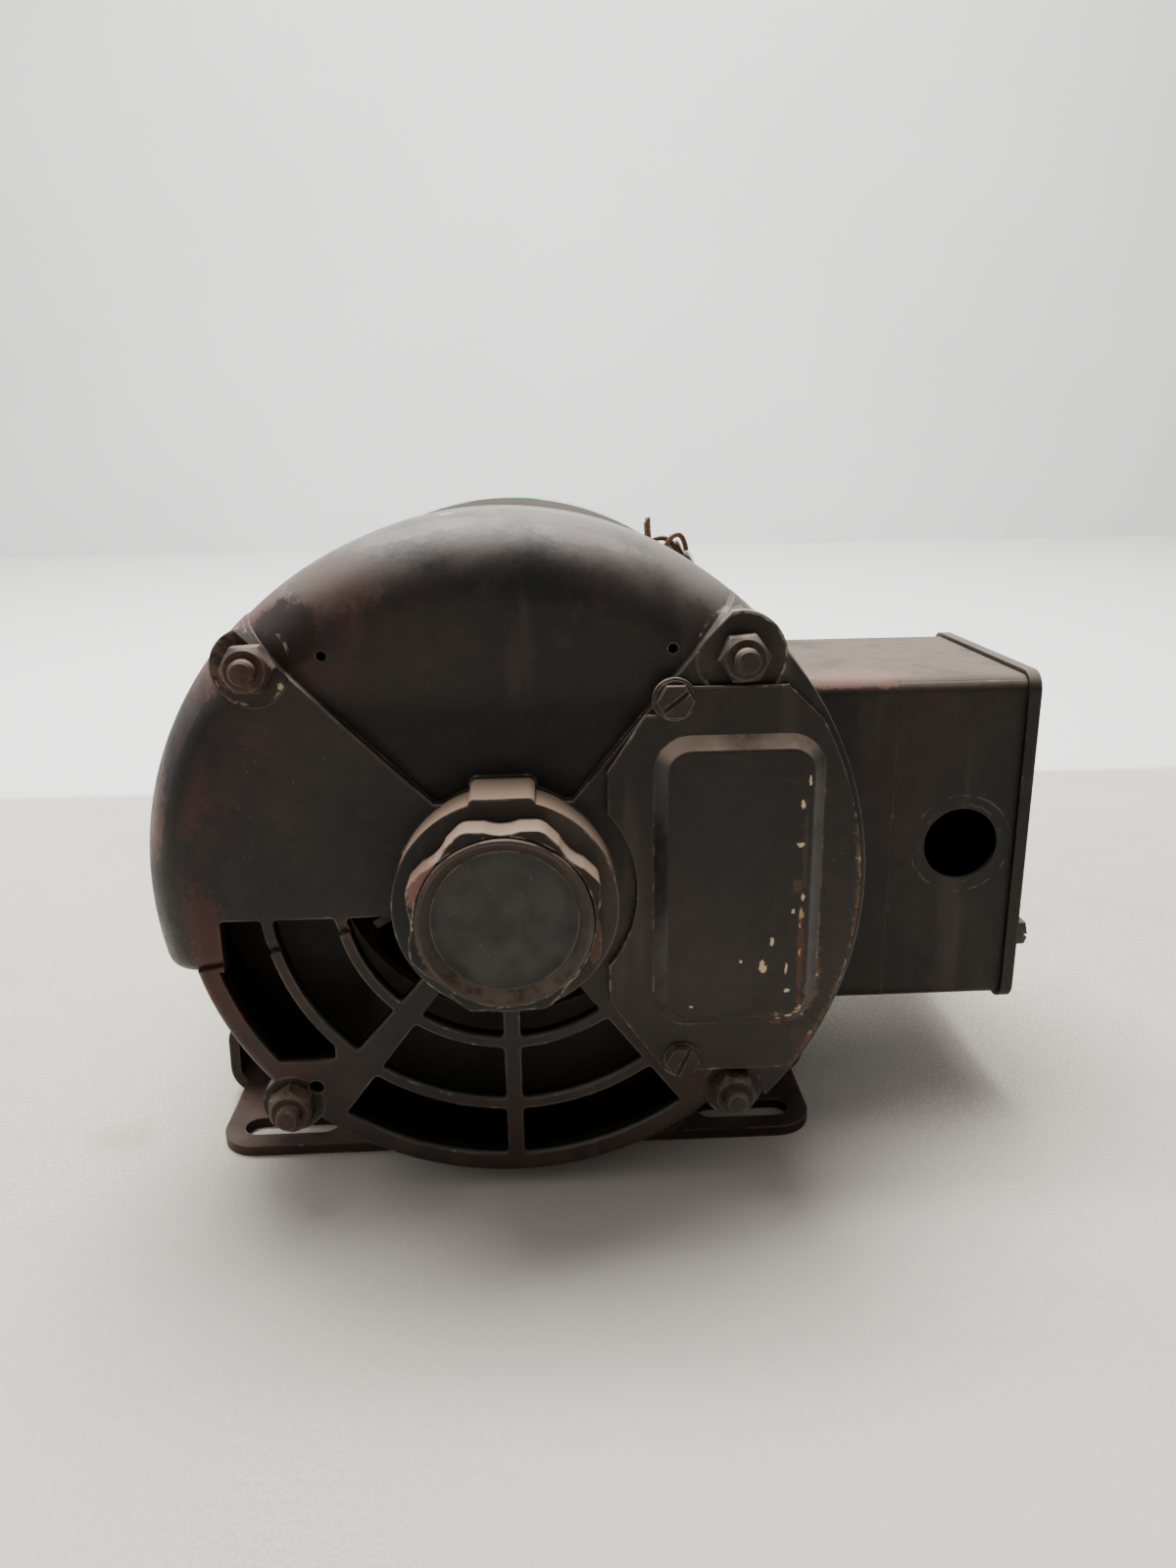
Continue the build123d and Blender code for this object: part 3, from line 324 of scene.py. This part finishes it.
def rusty_steel(name):
    """Rusted fasteners, greyer on the conduit box's side."""
    g = Graph(name)
    patch = g.noise(170, 6, 0.7)
    colour = g.mix(g.step(patch, 0.35, 0.65), RUST_DARK, (0.050, 0.026, 0.019))
    colour = g.mix(g.times(g.step(g.noise(520, 4, 0.6), 0.55, 0.7), 0.5), colour, (0.12, 0.070, 0.048))
    colour = g.mix(g.times(g.step(g.axes[0], -0.01, 0.03), 0.6), colour, (0.020, 0.0185, 0.017))
    lying = g.times(g.step(g.up, 0.15, 0.9), g.step(g.noise(160, 4), 0.3, 0.55), 0.6)
    colour = g.mix(lying, colour, DUST)
    worn = g.times(g.edges(0.0006), g.step(g.noise(240, 3), 0.38, 0.56), 0.8)
    colour = g.mix(worn, colour, (0.30, 0.22, 0.16))
    rough = g.step(patch, 0.3, 0.7, 0.55, 0.85)
    normal = g.bump(g.math("ADD", g.noise(900, 5, 0.7), g.noise(260, 4)), 0.5, 0.00018, soft_edges=0.0004)
    return g.shade(colour, rough, g.step(patch, 0.45, 0.6, 0.35, 0.0), normal)


def plain_metal(name, tone, rough, brushed=(1, 1, 1), dirt=0.3, dirt_colour=(0.06, 0.05, 0.04), edge=0.0):
    """Bare metal with fine lines, drawn out where brushed is small, and grime in patches."""
    g = Graph(name)
    grime = g.times(g.step(g.noise(90, 5, 0.65), 0.42, 0.7), dirt)
    colour = g.mix(grime, tone, dirt_colour)
    lines = g.noise(700, 3, 0.6, where=g.stretched(brushed))
    colour = g.mix(g.times(g.step(lines, 0.45, 0.75), 0.25), colour, tuple(c * 0.6 for c in tone))
    if edge:
        colour = g.mix(g.times(g.edges(0.0006), edge), colour, tuple(min(c * 1.6, 0.9) for c in tone))
    smooth = g.step(lines, 0.3, 0.7, rough - 0.06, rough + 0.1)
    roughness = g.math("ADD", smooth, g.times(grime, 0.35), clamp=True)
    normal = g.bump(lines, 0.2, 0.00006, soft_edges=0.0003)
    return g.shade(colour, roughness, g.step(grime, 0.1, 0.6, 1.0, 0.35), normal)


def dull_plastic(name, tone, rough, dust=0.4, dust_colour=DUST, grain=500.0):
    """Rubber, plastic, fibre or varnish: one tone in two shades, with dust on what faces up."""
    g = Graph(name)
    colour = g.mix(g.step(g.noise(60, 5), 0.4, 0.7), tone, tuple(min(c * 1.6 + 0.004, 1) for c in tone))
    lying = g.times(g.step(g.up, 0.1, 0.9), g.step(g.noise(110, 5, 0.6), 0.35, 0.62), dust)
    colour = g.mix(lying, colour, dust_colour)
    roughness = g.step(g.noise(180, 3), 0.35, 0.65, rough - 0.08, rough + 0.12)
    return g.shade(colour, roughness, 0.0, g.bump(g.noise(grain, 4, 0.6), 0.3, 0.0001, soft_edges=0.0004))


def laminated(name, tone):
    """Stack of thin sheets across the shaft, with varnish in patches."""
    g = Graph(name)
    sheet, varnish = 0.0005, (0.09, 0.045, 0.018)
    wave = g.math("SINE", g.times(g.axes[1], 2 * math.pi / sheet))
    colour = g.mix(g.step(wave, -0.2, 0.8), tuple(c * 0.55 for c in tone), tone)
    colour = g.mix(g.times(g.step(g.noise(70, 5, 0.6), 0.42, 0.62), 0.7), colour, varnish)
    return g.shade(colour, g.step(g.noise(120, 3), 0.3, 0.7, 0.35, 0.6), 0.55, g.bump(wave, 0.4, 0.00008))


def paint(material, *names):
    """Put a material on CAD nodes, linked to the object and not to its mesh."""
    for name in names:
        slots = nodes[name].data.materials
        if not slots:
            slots.append(None)
        for index in range(len(slots)):
            slots[index] = None
        for slot in nodes[name].material_slots:
            slot.link = "OBJECT"
            slot.material = material


# ---- materials of the CAD nodes ------------------------------------------------------------------
ear_left, ear_right = -BOLT_OFFSET, BOLT_OFFSET
ear_lower, ear_upper = SHAFT_Z - BOLT_OFFSET, SHAFT_Z + BOLT_OFFSET

bell_marks = [
    # primer showing through on the left shoulder and low on the left
    ((-0.064, -0.064, SHAFT_Z + 0.0640), 0.0170, (1.0, 1.2, 1.0), (0.150, 0.072, 0.060), 0.55, 0.5),
    ((-0.040, -0.070, SHAFT_Z + 0.0790), 0.0120, (1.4, 1.2, 0.7), (0.100, 0.058, 0.050), 0.45, 0.6),
    ((-0.0905, -0.068, SHAFT_Z + 0.0230), 0.0120, (0.7, 1.2, 1.5), (0.130, 0.060, 0.050), 0.50, 0.5),
    ((-0.0790, -0.081, SHAFT_Z - 0.0140), 0.0140, (0.55, 2, 1.5), (0.060, 0.019, 0.016), 0.75, 0.5),
    ((-0.0640, -0.081, SHAFT_Z - 0.0480), 0.0090, (1.6, 2, 0.8), (0.050, 0.020, 0.017), 0.60, 0.6),
    # painted shade and dirt: the ground around the upper ears is painted dark, reddish at the left one
    ((ear_left + 0.007, -0.077, ear_upper + 0.007), 0.010, (1.1, 1.8, 1.1), (0.020, 0.0115, 0.0095), 0.95, 0.3),
    ((ear_right - 0.0095, -0.077, ear_upper + 0.004), 0.0075, (0.8, 1.6, 1.4), (0.040, 0.033, 0.028), 0.75, 0.4),
    # bare chips at the upper edges of the ears
    ((ear_left + 0.0066, FACE_Y, ear_upper + 0.0082), 0.0020, (1.5, 2, 0.8), PALE_DUST, 0.85, 0.9),
    ((ear_left + 0.0088, FACE_Y, ear_upper + 0.0046), 0.0016, (0.5, 2, 1.5), PALE_DUST, 0.7, 0.9),
    ((ear_left + 0.0072, FACE_Y, ear_upper - 0.0048), 0.0010, (0.9, 2, 1.1), CREAM, 0.7, 0.9),
    # scuff on the hood's low left end
    ((-0.0945, -0.070, 0.060), 0.0060, (1, 1.4, 2.2), (0.16, 0.14, 0.13), 0.5, 0.7),
    ((-0.0880, -0.079, 0.084), 0.0014, (1, 1, 2.0), PALE_DUST, 0.5, 0.9),
    # painted highlight: a pale arc along the top of the shoulder; and pale blobs on the shoulder
    ((0.013, -0.0545, SHAFT_Z + 0.0945), 0.0030, (6.0, 0.30, 1.5), (0.60, 0.58, 0.53), 0.85, 0.35),
    ((-0.0125, -0.0590, SHAFT_Z + 0.0935), 0.0016, (1.2, 1.0, 1.5), (0.52, 0.46, 0.38), 0.9, 0.5),
    ((-0.020, -0.0660, SHAFT_Z + 0.0900), 0.0060, (3.4, 0.5, 1.5), (0.30, 0.27, 0.24), 0.35, 0.6),
    ((0.020, -0.0690, SHAFT_Z + 0.0880), 0.0050, (4.0, 0.5, 1.5), (0.26, 0.235, 0.21), 0.35, 0.6),
]
bell_blush = [
    ((-0.056, -0.062, 0.158), 0.040, 1.0),
    ((-0.066, -0.080, 0.120), 0.026, 0.45),
    ((-0.0885, -0.074, 0.112), 0.022, 0.9),
    ((-0.070, -0.079, 0.050), 0.036, 0.9),
    ((-0.043, -0.081, 0.078), 0.010, 0.7),
    ((0.030, -0.066, 0.170), 0.020, 0.35),
    ((0.052, -0.076, 0.030), 0.022, 0.55),
    ((0.000, -0.079, 0.012), 0.040, 0.45),
]
# scraped circles round the four nuts
bell_rings = [
    ((ear_left, ear_upper), 0.0093, 0.0006, (0.30, 0.22, 0.17), 0.75, 0.53),
    ((ear_right, ear_upper), 0.0109, 0.0005, (0.36, 0.29, 0.23), 0.7, 0.45),
    ((ear_left, ear_lower), 0.0080, 0.0005, (0.20, 0.13, 0.10), 0.6, 0.48),
    ((ear_right, ear_lower), 0.0080, 0.0005, (0.20, 0.13, 0.10), 0.6, 0.48),
]
paint(worn_paint("bell_paint", blush=bell_blush, marks=bell_marks, dust=0.5, pale_top=0.85, chips=0.55,
                 rust_low=0.35, inside_shade=True, dust_colour=(0.26, 0.215, 0.18), hub_dust=True, gloss=0.06,
                 quiet=[((ear_left + 0.0090, -0.0780, ear_upper + 0.0050), 0.0110)], rings=bell_rings),
      "rear_end_bell")
paint(worn_paint("far_bell_paint", blush=[((-0.05, 0.12, 0.15), 0.05, 0.8)], dust=0.5, pale_top=0.5,
                 rust_low=0.35, inside_shade=True, crown=0.95, hub_dust=True), "front_end_bell")
paint(worn_paint("frame_paint", tint=(1.25, 1.1, 1.0), blush=[((0, 0.02, 0.178), 0.06, 0.6)], dust=0.7,
                 pale_top=0.45, rust_low=0.4), "frame_shell")
# painted shade: the foot on the conduit box's side is painted darker, standing in for the shade that the bell
# and the box cast on it
base_shade_marks = [((0.074, -0.058, 0.004), 0.030, (1.0, 1.0, 1.0), (0.0160, 0.0115, 0.0085), 0.80, 0.4)]
paint(worn_paint("base_paint", tint=(1.7, 1.3, 1.05), dust=0.3, rust_low=0.45, chips=0.35, marks=base_shade_marks,
                 blush=[((-0.08, -0.05, 0.0), 0.05, 0.8), ((0.07, -0.05, 0.0), 0.05, 0.5)]), "base")


# the embossed panel of the access cover: its face and the middle of its right edge
panel_y = -0.0860
panel_edge = 0.0757


def cover_flakes():
    """Small flakes of cream undercoat and rust, most of them on the panel's right edge and low corner.

    Each is (place from the shaft as (x, z), radius, (width, height), colour)."""
    random.seed(11)
    flakes = [
        ((0.0660, -0.0212), 0.0013, (0.75, 1.35), CREAM), ((0.0682, -0.0140), 0.0009, (0.6, 1.5), CREAM),
        ((0.0722, -0.0218), 0.0009, (0.45, 1.8), CREAM), ((0.0727, -0.0281), 0.0008, (1.3, 0.7), CREAM),
        ((0.0603, -0.0194), 0.0005, (1.0, 1.0), CREAM), ((0.0474, -0.0320), 0.0005, (1.3, 0.6), CREAM),
        ((0.0735, -0.0058), 0.0006, (0.8, 1.3), CREAM), ((0.0758, -0.0018), 0.0007, (0.7, 1.6), CREAM),
        ((0.0742, 0.0012), 0.0014, (0.8, 1.5), RUST), ((0.0766, 0.0292), 0.0007, (0.5, 2.2), CREAM),
        ((0.0750, 0.0232), 0.0009, (0.6, 1.3), CREAM), ((0.0748, 0.0124), 0.0008, (1.2, 0.8), CREAM),
        ((0.0902, 0.0195), 0.0009, (0.7, 1.2), CREAM),
    ]
    for i in range(16):
        z = -0.004 - 0.030 * random.random()
        x = panel_edge + random.uniform(-0.0006, 0.0005)
        radius = random.uniform(0.0004, 0.0009)
        shape = (0.6, random.uniform(1.0, 2.4))
        flakes.append(((x, z), radius, shape, RUST if i % 3 else (0.42, 0.26, 0.13)))
    corner_flakes = 7
    for i in range(corner_flakes):
        along = i / (corner_flakes - 1)
        x, z = panel_edge - 0.0050 * along * along, -0.0335 - 0.0035 * along
        flakes.append(((x, z), random.uniform(0.0005, 0.0010), (1.4, 0.7), RUST if i % 2 else CREAM))
    return flakes


cover_marks = [
    ((0.0560, panel_y, SHAFT_Z + 0.0180), 0.0140, (1.0, 3, 1.3), (0.015, 0.0165, 0.018), 0.7, 0.4),
    ((0.0540, panel_y, SHAFT_Z - 0.0230), 0.0120, (1.2, 3, 1.0), (0.034, 0.0225, 0.016), 0.6, 0.6),
    ((0.0790, -0.0835, SHAFT_Z - 0.0450), 0.0060, (0.7, 3, 1.1), RUST, 0.35, 0.9),
    ((panel_edge, panel_y, SHAFT_Z - 0.0180), 0.0030, (0.35, 3, 4.6), RUST, 0.75, 0.5),
    ((0.0760, panel_y, SHAFT_Z + 0.0110), 0.0024, (0.30, 3, 6.0), (0.05, 0.030, 0.020), 0.7, 0.5),
]
cover_marks += [((x, panel_y, SHAFT_Z + z), radius, (wide, 3, tall), flake_colour, 0.95, 0.75)
                for (x, z), radius, (wide, tall), flake_colour in cover_flakes()]
paint(worn_paint("cover_paint", tint=(1.12, 1.02, 0.92), marks=cover_marks, dust=0.8, ridge_highlight=0.9, gloss=0.10,
                 chips=0.85, chip_level=0.55, chip_colour=(0.46, 0.38, 0.29),
                 zones=[((0.0810, -0.0835, SHAFT_Z - 0.0360), 0.020, (1.0, 3, 1.2)),
                        ((0.0905, -0.0835, SHAFT_Z + 0.0020), 0.010, (0.6, 3, 2.2))]), "access_cover")

box_low, box_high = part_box("conduit_box_end")
opening = (0.1357, 0.0820)
box_marks = [
    ((0.114, box_low.y, 0.098), 0.017, (0.9, 3, 1.5), (0.036, 0.022, 0.018), 0.40, 0.6),
    ((0.1200, box_low.y, 0.110), 0.0120, (1.0, 3, 1.6), (0.030, 0.018, 0.014), 0.5, 0.6),
    # primer showing on the top
    ((0.1020, -0.028, box_high.z), 0.0160, (1.5, 0.8, 0.12), (0.235, 0.130, 0.098), 0.60, 0.6),
    ((0.1300, -0.031, box_high.z), 0.0120, (2.0, 0.5, 0.12), (0.120, 0.085, 0.066), 0.50, 0.6),
]
paint(worn_paint("box_paint", tint=(1.0, 1.0, 0.92), marks=box_marks, dust=0.95, even=0.10, chips=0.15,
                 rub=0.22,
                 rings=[(opening, 0.0152, 0.0004, (0.12, 0.105, 0.09), 0.55, 0.47),
                        (opening, 0.0124, 0.0005, (0.10, 0.075, 0.06), 0.45, 0.50)],
                 dust_colour=(0.150, 0.118, 0.092), blush=[((0.120, -0.03, 0.133), 0.030, 0.6)]),
      "conduit_box", "conduit_box_end", "conduit_box_cover", "conduit_box_adapter")

collar_marks = [
    ((-0.0190, -0.099, SHAFT_Z + 0.0105), 0.0062, (0.9, 3, 1.1), (0.24, 0.125, 0.105), 0.8, 0.6),
    ((-0.0185, -0.101, SHAFT_Z - 0.0150), 0.0035, (1.0, 2, 1.0), (0.10, 0.045, 0.03), 0.7, 0.7),
    ((0.0220, -0.101, SHAFT_Z - 0.0060), 0.0040, (0.5, 2, 1.8), (0.09, 0.045, 0.03), 0.7, 0.7),
]
paint(worn_paint("collar_metal", tint=(0.9, 0.75, 0.68), marks=collar_marks, dust=0.6, hub_dust=True,
                 chips=1.0, chip_level=0.50, chip_colour=(0.66, 0.60, 0.52)), "hub_collar")


def cap_metal():
    """The dished cap: dark floor, a slope painted darker as painted shade, rusty rim and worn lip."""
    g = Graph("cap_metal")
    across = g.off_axis(0.0, SHAFT_Z)
    colour = g.mix(g.step(g.noise(90, 5, 0.6), 0.35, 0.7), (0.0115, 0.0110, 0.0098), (0.0185, 0.0170, 0.0145))
    # painted shade: the dish's slope is painted near black, standing in for the shade inside the dish
    colour = g.mix(g.times(g.step(across, 0.0142, 0.0168), 0.85), colour, (0.0050, 0.0042, 0.0036))
    rim_rust = g.step(g.math("ADD", across, g.times(g.noise(300, 4, 0.6), 0.0012)), 0.0182, 0.0200)
    colour = g.mix(g.times(rim_rust, 0.85), colour, (0.038, 0.0215, 0.0155))
    lying = g.times(g.step(g.up, 0.2, 0.8), g.step(g.noise(200, 4), 0.3, 0.55), 0.30)
    colour = g.mix(lying, colour, THICK_DUST)
    worn = g.times(g.edges(0.0006), g.step(g.noise(150, 4, 0.6), 0.36, 0.55), 0.9)
    colour = g.mix(worn, colour, (0.36, 0.27, 0.21))
    colour = g.mix(g.times(g.step(g.cells(330), 0.08, 0.04), 0.6), colour, (0.12, 0.09, 0.065))
    normal = g.bump(g.noise(500, 5, 0.65), 0.3, 0.00015, soft_edges=0.0005)
    return g.shade(colour, g.step(g.noise(120, 4), 0.3, 0.7, 0.42, 0.66), 0.0, normal)


def label_paper():
    """Paper in a yellow and a green part, faded in patches."""
    g = Graph("label_paper")
    colour = g.mix(g.step(g.axes[0], -0.0030, -0.0015), (0.74, 0.72, 0.28), (0.13, 0.88, 0.26))
    colour = g.mix(g.times(g.step(g.noise(240, 5, 0.7), 0.45, 0.62), 0.6), colour, (0.52, 0.50, 0.42))
    return g.shade(colour, 0.7, 0.0, g.bump(g.noise(400, 4), 0.3, 0.0001))


def both_bearings(*pieces):
    return [f"{end}_bearing_{piece}" for end in ("rear", "front") for piece in pieces]


paint(cap_metal(), "hub_cap")
paint(rusty_steel("rusty_steel"), "through_bolts", "through_bolt_nuts", "access_cover_screws",
      "conduit_cover_screws")
paint(plain_metal("plated_steel", (0.50, 0.48, 0.43), 0.38, dirt=0.6), "bearing_cap_screws",
      "conduit_box_screws")
paint(dull_plastic("ground_green", (0.02, 0.13, 0.035), 0.45), "ground_screw")
paint(dull_plastic("gasket_fibre", (0.10, 0.080, 0.060), 0.85, grain=1400.0), "access_cover_gasket",
      "conduit_box_gasket")
paint(plain_metal("shaft_steel", (0.46, 0.45, 0.43), 0.24, brushed=(1, 14, 1), dirt=0.45,
                  dirt_colour=(0.10, 0.05, 0.03), edge=0.5), "shaft")
paint(laminated("core_steel", (0.17, 0.17, 0.175)), "stator_core", "rotor_core")
# the cage rings are dark: dirt, and painted shade for the inside of the housing
paint(plain_metal("cage_aluminium", (0.14, 0.13, 0.12), 0.6, dirt=0.9), "rear_cage_ring", "front_cage_ring")
paint(dull_plastic("winding_copper", (0.030, 0.012, 0.006), 0.45, dust=0.2), "rear_winding", "front_winding")
paint(plain_metal("bearing_steel", (0.60, 0.60, 0.60), 0.14, dirt=0.15),
      *both_bearings("outer_race", "inner_race", "balls"))
paint(plain_metal("bearing_sheet", (0.45, 0.45, 0.44), 0.4, dirt=0.4),
      *both_bearings("cage", "shields"))
paint(plain_metal("spring_steel", (0.16, 0.16, 0.18), 0.35, dirt=0.3), "wave_spring", "bearing_snap_ring")
paint(worn_paint("cap_iron", dust=0.3), "inner_bearing_cap")
paint(dull_plastic("black_rubber", (0.012, 0.012, 0.012), 0.7, dust=0.6), "lead_grommet", "shaft_slinger")
paint(worn_paint("baffle_sheet", dust=0.7), "rear_baffle")
paint(dull_plastic("lead_insulation", (0.014, 0.014, 0.015), 0.45), "lead_wires")
paint(dull_plastic("wire_nut_plastic", (0.36, 0.09, 0.015), 0.4), "wire_nuts")
paint(plain_metal("plate_aluminium", (0.36, 0.35, 0.33), 0.45, brushed=(1, 1, 8), dirt=0.7), "nameplate",
      "nameplate_rivets")
paint(label_paper(), "top_label")


# ---- pieces --------------------------------------------------------------------------------------
def keep(piece, material):
    """Fix an added piece to the frame body, with one material."""
    piece.data.materials.clear()
    piece.data.materials.append(material)
    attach(piece, "frame")


def in_scene(name, data):
    piece = bpy.data.objects.new(name, data)
    bpy.context.scene.collection.objects.link(piece)
    return piece


def tube(name, runs, radius, resolution=6):
    """Round wire along one or more lists of points."""
    data = bpy.data.curves.new(name, "CURVE")
    data.dimensions = "3D"
    data.bevel_depth = radius
    data.bevel_resolution = 3
    data.resolution_u = resolution
    data.use_fill_caps = True
    for points in runs:
        spline = data.splines.new("NURBS")
        spline.points.add(len(points) - 1)
        for point, place in zip(spline.points, points):
            point.co = (*place, 1.0)
        spline.order_u = 3
        spline.use_endpoint_u = True
    return in_scene(name, data)


# a plain material of this name, which the threads and the tie wire take
wire_steel = bpy.data.materials["rusty_steel"]

# threads on the bare ends of the through bolts
pitch = 0.00127
thread_radius = 0.00292
turn_points = 16
thread_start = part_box("through_bolts")[0].y + 0.0008
thread_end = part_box("through_bolt_nuts")[0].y + 0.0006
thread_points = int((thread_end - thread_start) / pitch * turn_points)
for side_x in (-1, 1):
    for side_z in (-1, 1):
        helix = []
        for i in range(thread_points):
            angle = 2 * math.pi * i / turn_points
            helix.append((side_x * BOLT_OFFSET + thread_radius * math.cos(angle),
                          thread_start + pitch * i / turn_points,
                          SHAFT_Z + side_z * BOLT_OFFSET + thread_radius * math.sin(angle)))
        corner = ("l" if side_x < 0 else "r") + ("l" if side_z < 0 else "u")
        keep(tube(f"bolt_thread_{corner}", [helix], 0.00030, resolution=3), wire_steel)

# rusty tie wire left on the frame behind the hood: a twisted run, a twisted end that stands up and two loose
# strands
tie = Vector((0.0462, -0.0172, SHAFT_Z + 0.0800))


def near_tie(*places):
    return [tie + Vector(place) for place in places]


def twisted(start, end, lift, turns, spread, phase, steps=34):
    """Points of one of two wires twisted about the line from start to end, which bows up by lift."""
    path = []
    for i in range(steps):
        t = i / (steps - 1)
        angle = 2 * math.pi * turns * t + phase
        centre = start.lerp(end, t) + Vector((0, 0, lift * math.sin(math.pi * t)))
        across, up = spread * math.sin(angle), spread * math.cos(angle)
        path.append(centre + Vector((0.3 * spread * math.cos(angle), across, up)))
    return path


run_ends = near_tie((-0.0125, 0, 0.0045), (0.0075, 0.001, -0.0035))
standing_ends = near_tie((-0.0035, 0.0005, 0.0025), (-0.0038, 0.001, 0.0088))
strands = []
for phase in (0.0, math.pi):
    strands.append(twisted(*run_ends, 0.0012, 4.5, 0.00085, phase))
    strands.append(twisted(*standing_ends, 0.0, 2.0, 0.00075, phase, steps=22))
strands.append(near_tie((0.001, 0, 0.0005), (0.0030, 0.0006, 0.0040), (0.0052, 0.0010, 0.0052),
                        (0.0072, 0.0012, 0.0036), (0.0078, 0.0010, 0.0002)))
strands.append(near_tie((-0.005, 0.001, 0.0020), (-0.0005, 0.0022, 0.0046), (0.0040, 0.0020, 0.0028),
                        (0.0062, 0.0004, -0.0010)))
keep(tube("tie_wire", strands, 0.00080), wire_steel)

# a crumpled rag of old tape in the wire
columns, rows = 9, 13
points, faces = [], []
for i in range(columns):
    for j in range(rows):
        u, v = i / (columns - 1), j / (rows - 1)
        crumple = 0.0011 * math.sin(9 * u + 4 * v) + 0.0008 * math.sin(17 * v + 3 * u)
        points.append(tie + Vector((0.0035 + 0.0062 * u + 0.0012 * math.sin(7 * v), -0.001 + 0.0090 * v,
                                    0.0022 - 0.0068 * u * u - 0.0012 * v + crumple)))
for i in range(columns - 1):
    for j in range(rows - 1):
        a = i * rows + j
        faces.append((a, a + rows, a + rows + 1, a + 1))
rag_mesh = bpy.data.meshes.new("tie_rag")
rag_mesh.from_pydata(points, [], faces)
rag = in_scene("tie_rag", rag_mesh)
rag.modifiers.new("thick", "SOLIDIFY").thickness = 0.0004
rag.modifiers.new("smooth", "SUBSURF").render_levels = 2
keep(rag, dull_plastic("old_tape", (0.42, 0.44, 0.44), 0.8, dust=0.6, dust_colour=(0.30, 0.24, 0.19)))


# ---- camera, light and floor ---------------------------------------------------------------------
yaw, pitch_down, roll = math.radians(2.29), math.radians(16.48), math.radians(-0.9)
camera_place = Vector((0.0107, -0.3480, 0.1964))
level = math.cos(pitch_down)
forward = Vector((math.sin(yaw) * level, math.cos(yaw) * level, -math.sin(pitch_down)))
right = Vector((math.cos(yaw), -math.sin(yaw), 0))
above = right.cross(forward)
side = math.cos(roll) * right + math.sin(roll) * above
top = -math.sin(roll) * right + math.cos(roll) * above

camera_data = bpy.data.cameras.new("camera")
camera_data.sensor_fit = "VERTICAL"
camera_data.sensor_height = 36
camera_data.sensor_width = 27
camera_data.lens = 25.49
camera_data.clip_start = 0.01
camera = in_scene("camera", camera_data)
place = camera.matrix_world.copy()
for column, vector in enumerate((side, top, -forward, camera_place)):
    for row in range(3):
        place[row][column] = vector[row]
camera.matrix_world = place
bpy.context.scene.camera = camera


def area_light(name, where, target, size, watts):
    data = bpy.data.lights.new(name, "AREA")
    data.shape = "RECTANGLE"
    data.size, data.size_y = size
    data.energy = watts
    lamp = in_scene(name, data)
    lamp.location = where
    lamp.rotation_euler = (Vector(target) - Vector(where)).to_track_quat("-Z", "Y").to_euler()


def floor_material():
    """Speckled and blotched concrete with one stain, paler towards the wall."""
    g = Graph("floor")
    speckle = g.noise(900, 3, 0.7)
    ground = g.mix(g.step(speckle, 0.42, 0.62), (0.49, 0.450, 0.380), (0.69, 0.640, 0.550))
    ground = g.mix(g.times(g.step(g.noise(26, 6, 0.7), 0.46, 0.70), 0.35), ground, (0.40, 0.365, 0.315))
    stain = g.spot((-0.120, -0.050, 0), 0.014, ragged=0.6, scale=120, soft=0.9)
    ground = g.mix(stain, ground, (0.42, 0.35, 0.27))
    ground = g.mix(g.step(g.noise(3, 3), 0.35, 0.7), ground, (0.61, 0.570, 0.500))
    ground = g.mix(g.step(g.axes[1], 0.310, 0.325), ground, (0.84, 0.84, 0.83))
    return g.shade(ground, 0.7, 0.0, g.bump(speckle, 0.1, 0.0001))


def wall_material():
    g = Graph("wall")
    return g.shade(g.mix(g.step(g.noise(2, 3), 0.3, 0.7), (0.82, 0.83, 0.82), (0.86, 0.87, 0.86)), 0.8)


def backdrop(name, material, **placing):
    bpy.ops.mesh.primitive_plane_add(size=12, **placing)
    plane = bpy.context.object
    plane.name = name
    plane.data.materials.append(material)
    return plane


wall_y = 2.2
area_light("overhead", (-0.12, 0.42, 1.6), (0, 0.05, 0.1), (1.1, 0.8), 54)
area_light("left_soft", (-1.5, 0.1, 0.8), (0, 0.0, 0.1), (1.2, 1.0), 7)
area_light("wall_wash", (0.0, 0.9, 2.2), (0, wall_y, 0.6), (2.4, 0.6), 84)

world = bpy.data.worlds.new("world")
world.use_nodes = True
background = world.node_tree.nodes["Background"]
background.inputs["Color"].default_value = (0.89, 0.88, 0.865, 1)
background.inputs["Strength"].default_value = 0.37
bpy.context.scene.world = world

floor = backdrop("floor", floor_material(), location=(0, 0, 0))
wall = backdrop("wall", wall_material(), location=(0, wall_y, 0), rotation=(math.pi / 2, 0, 0))
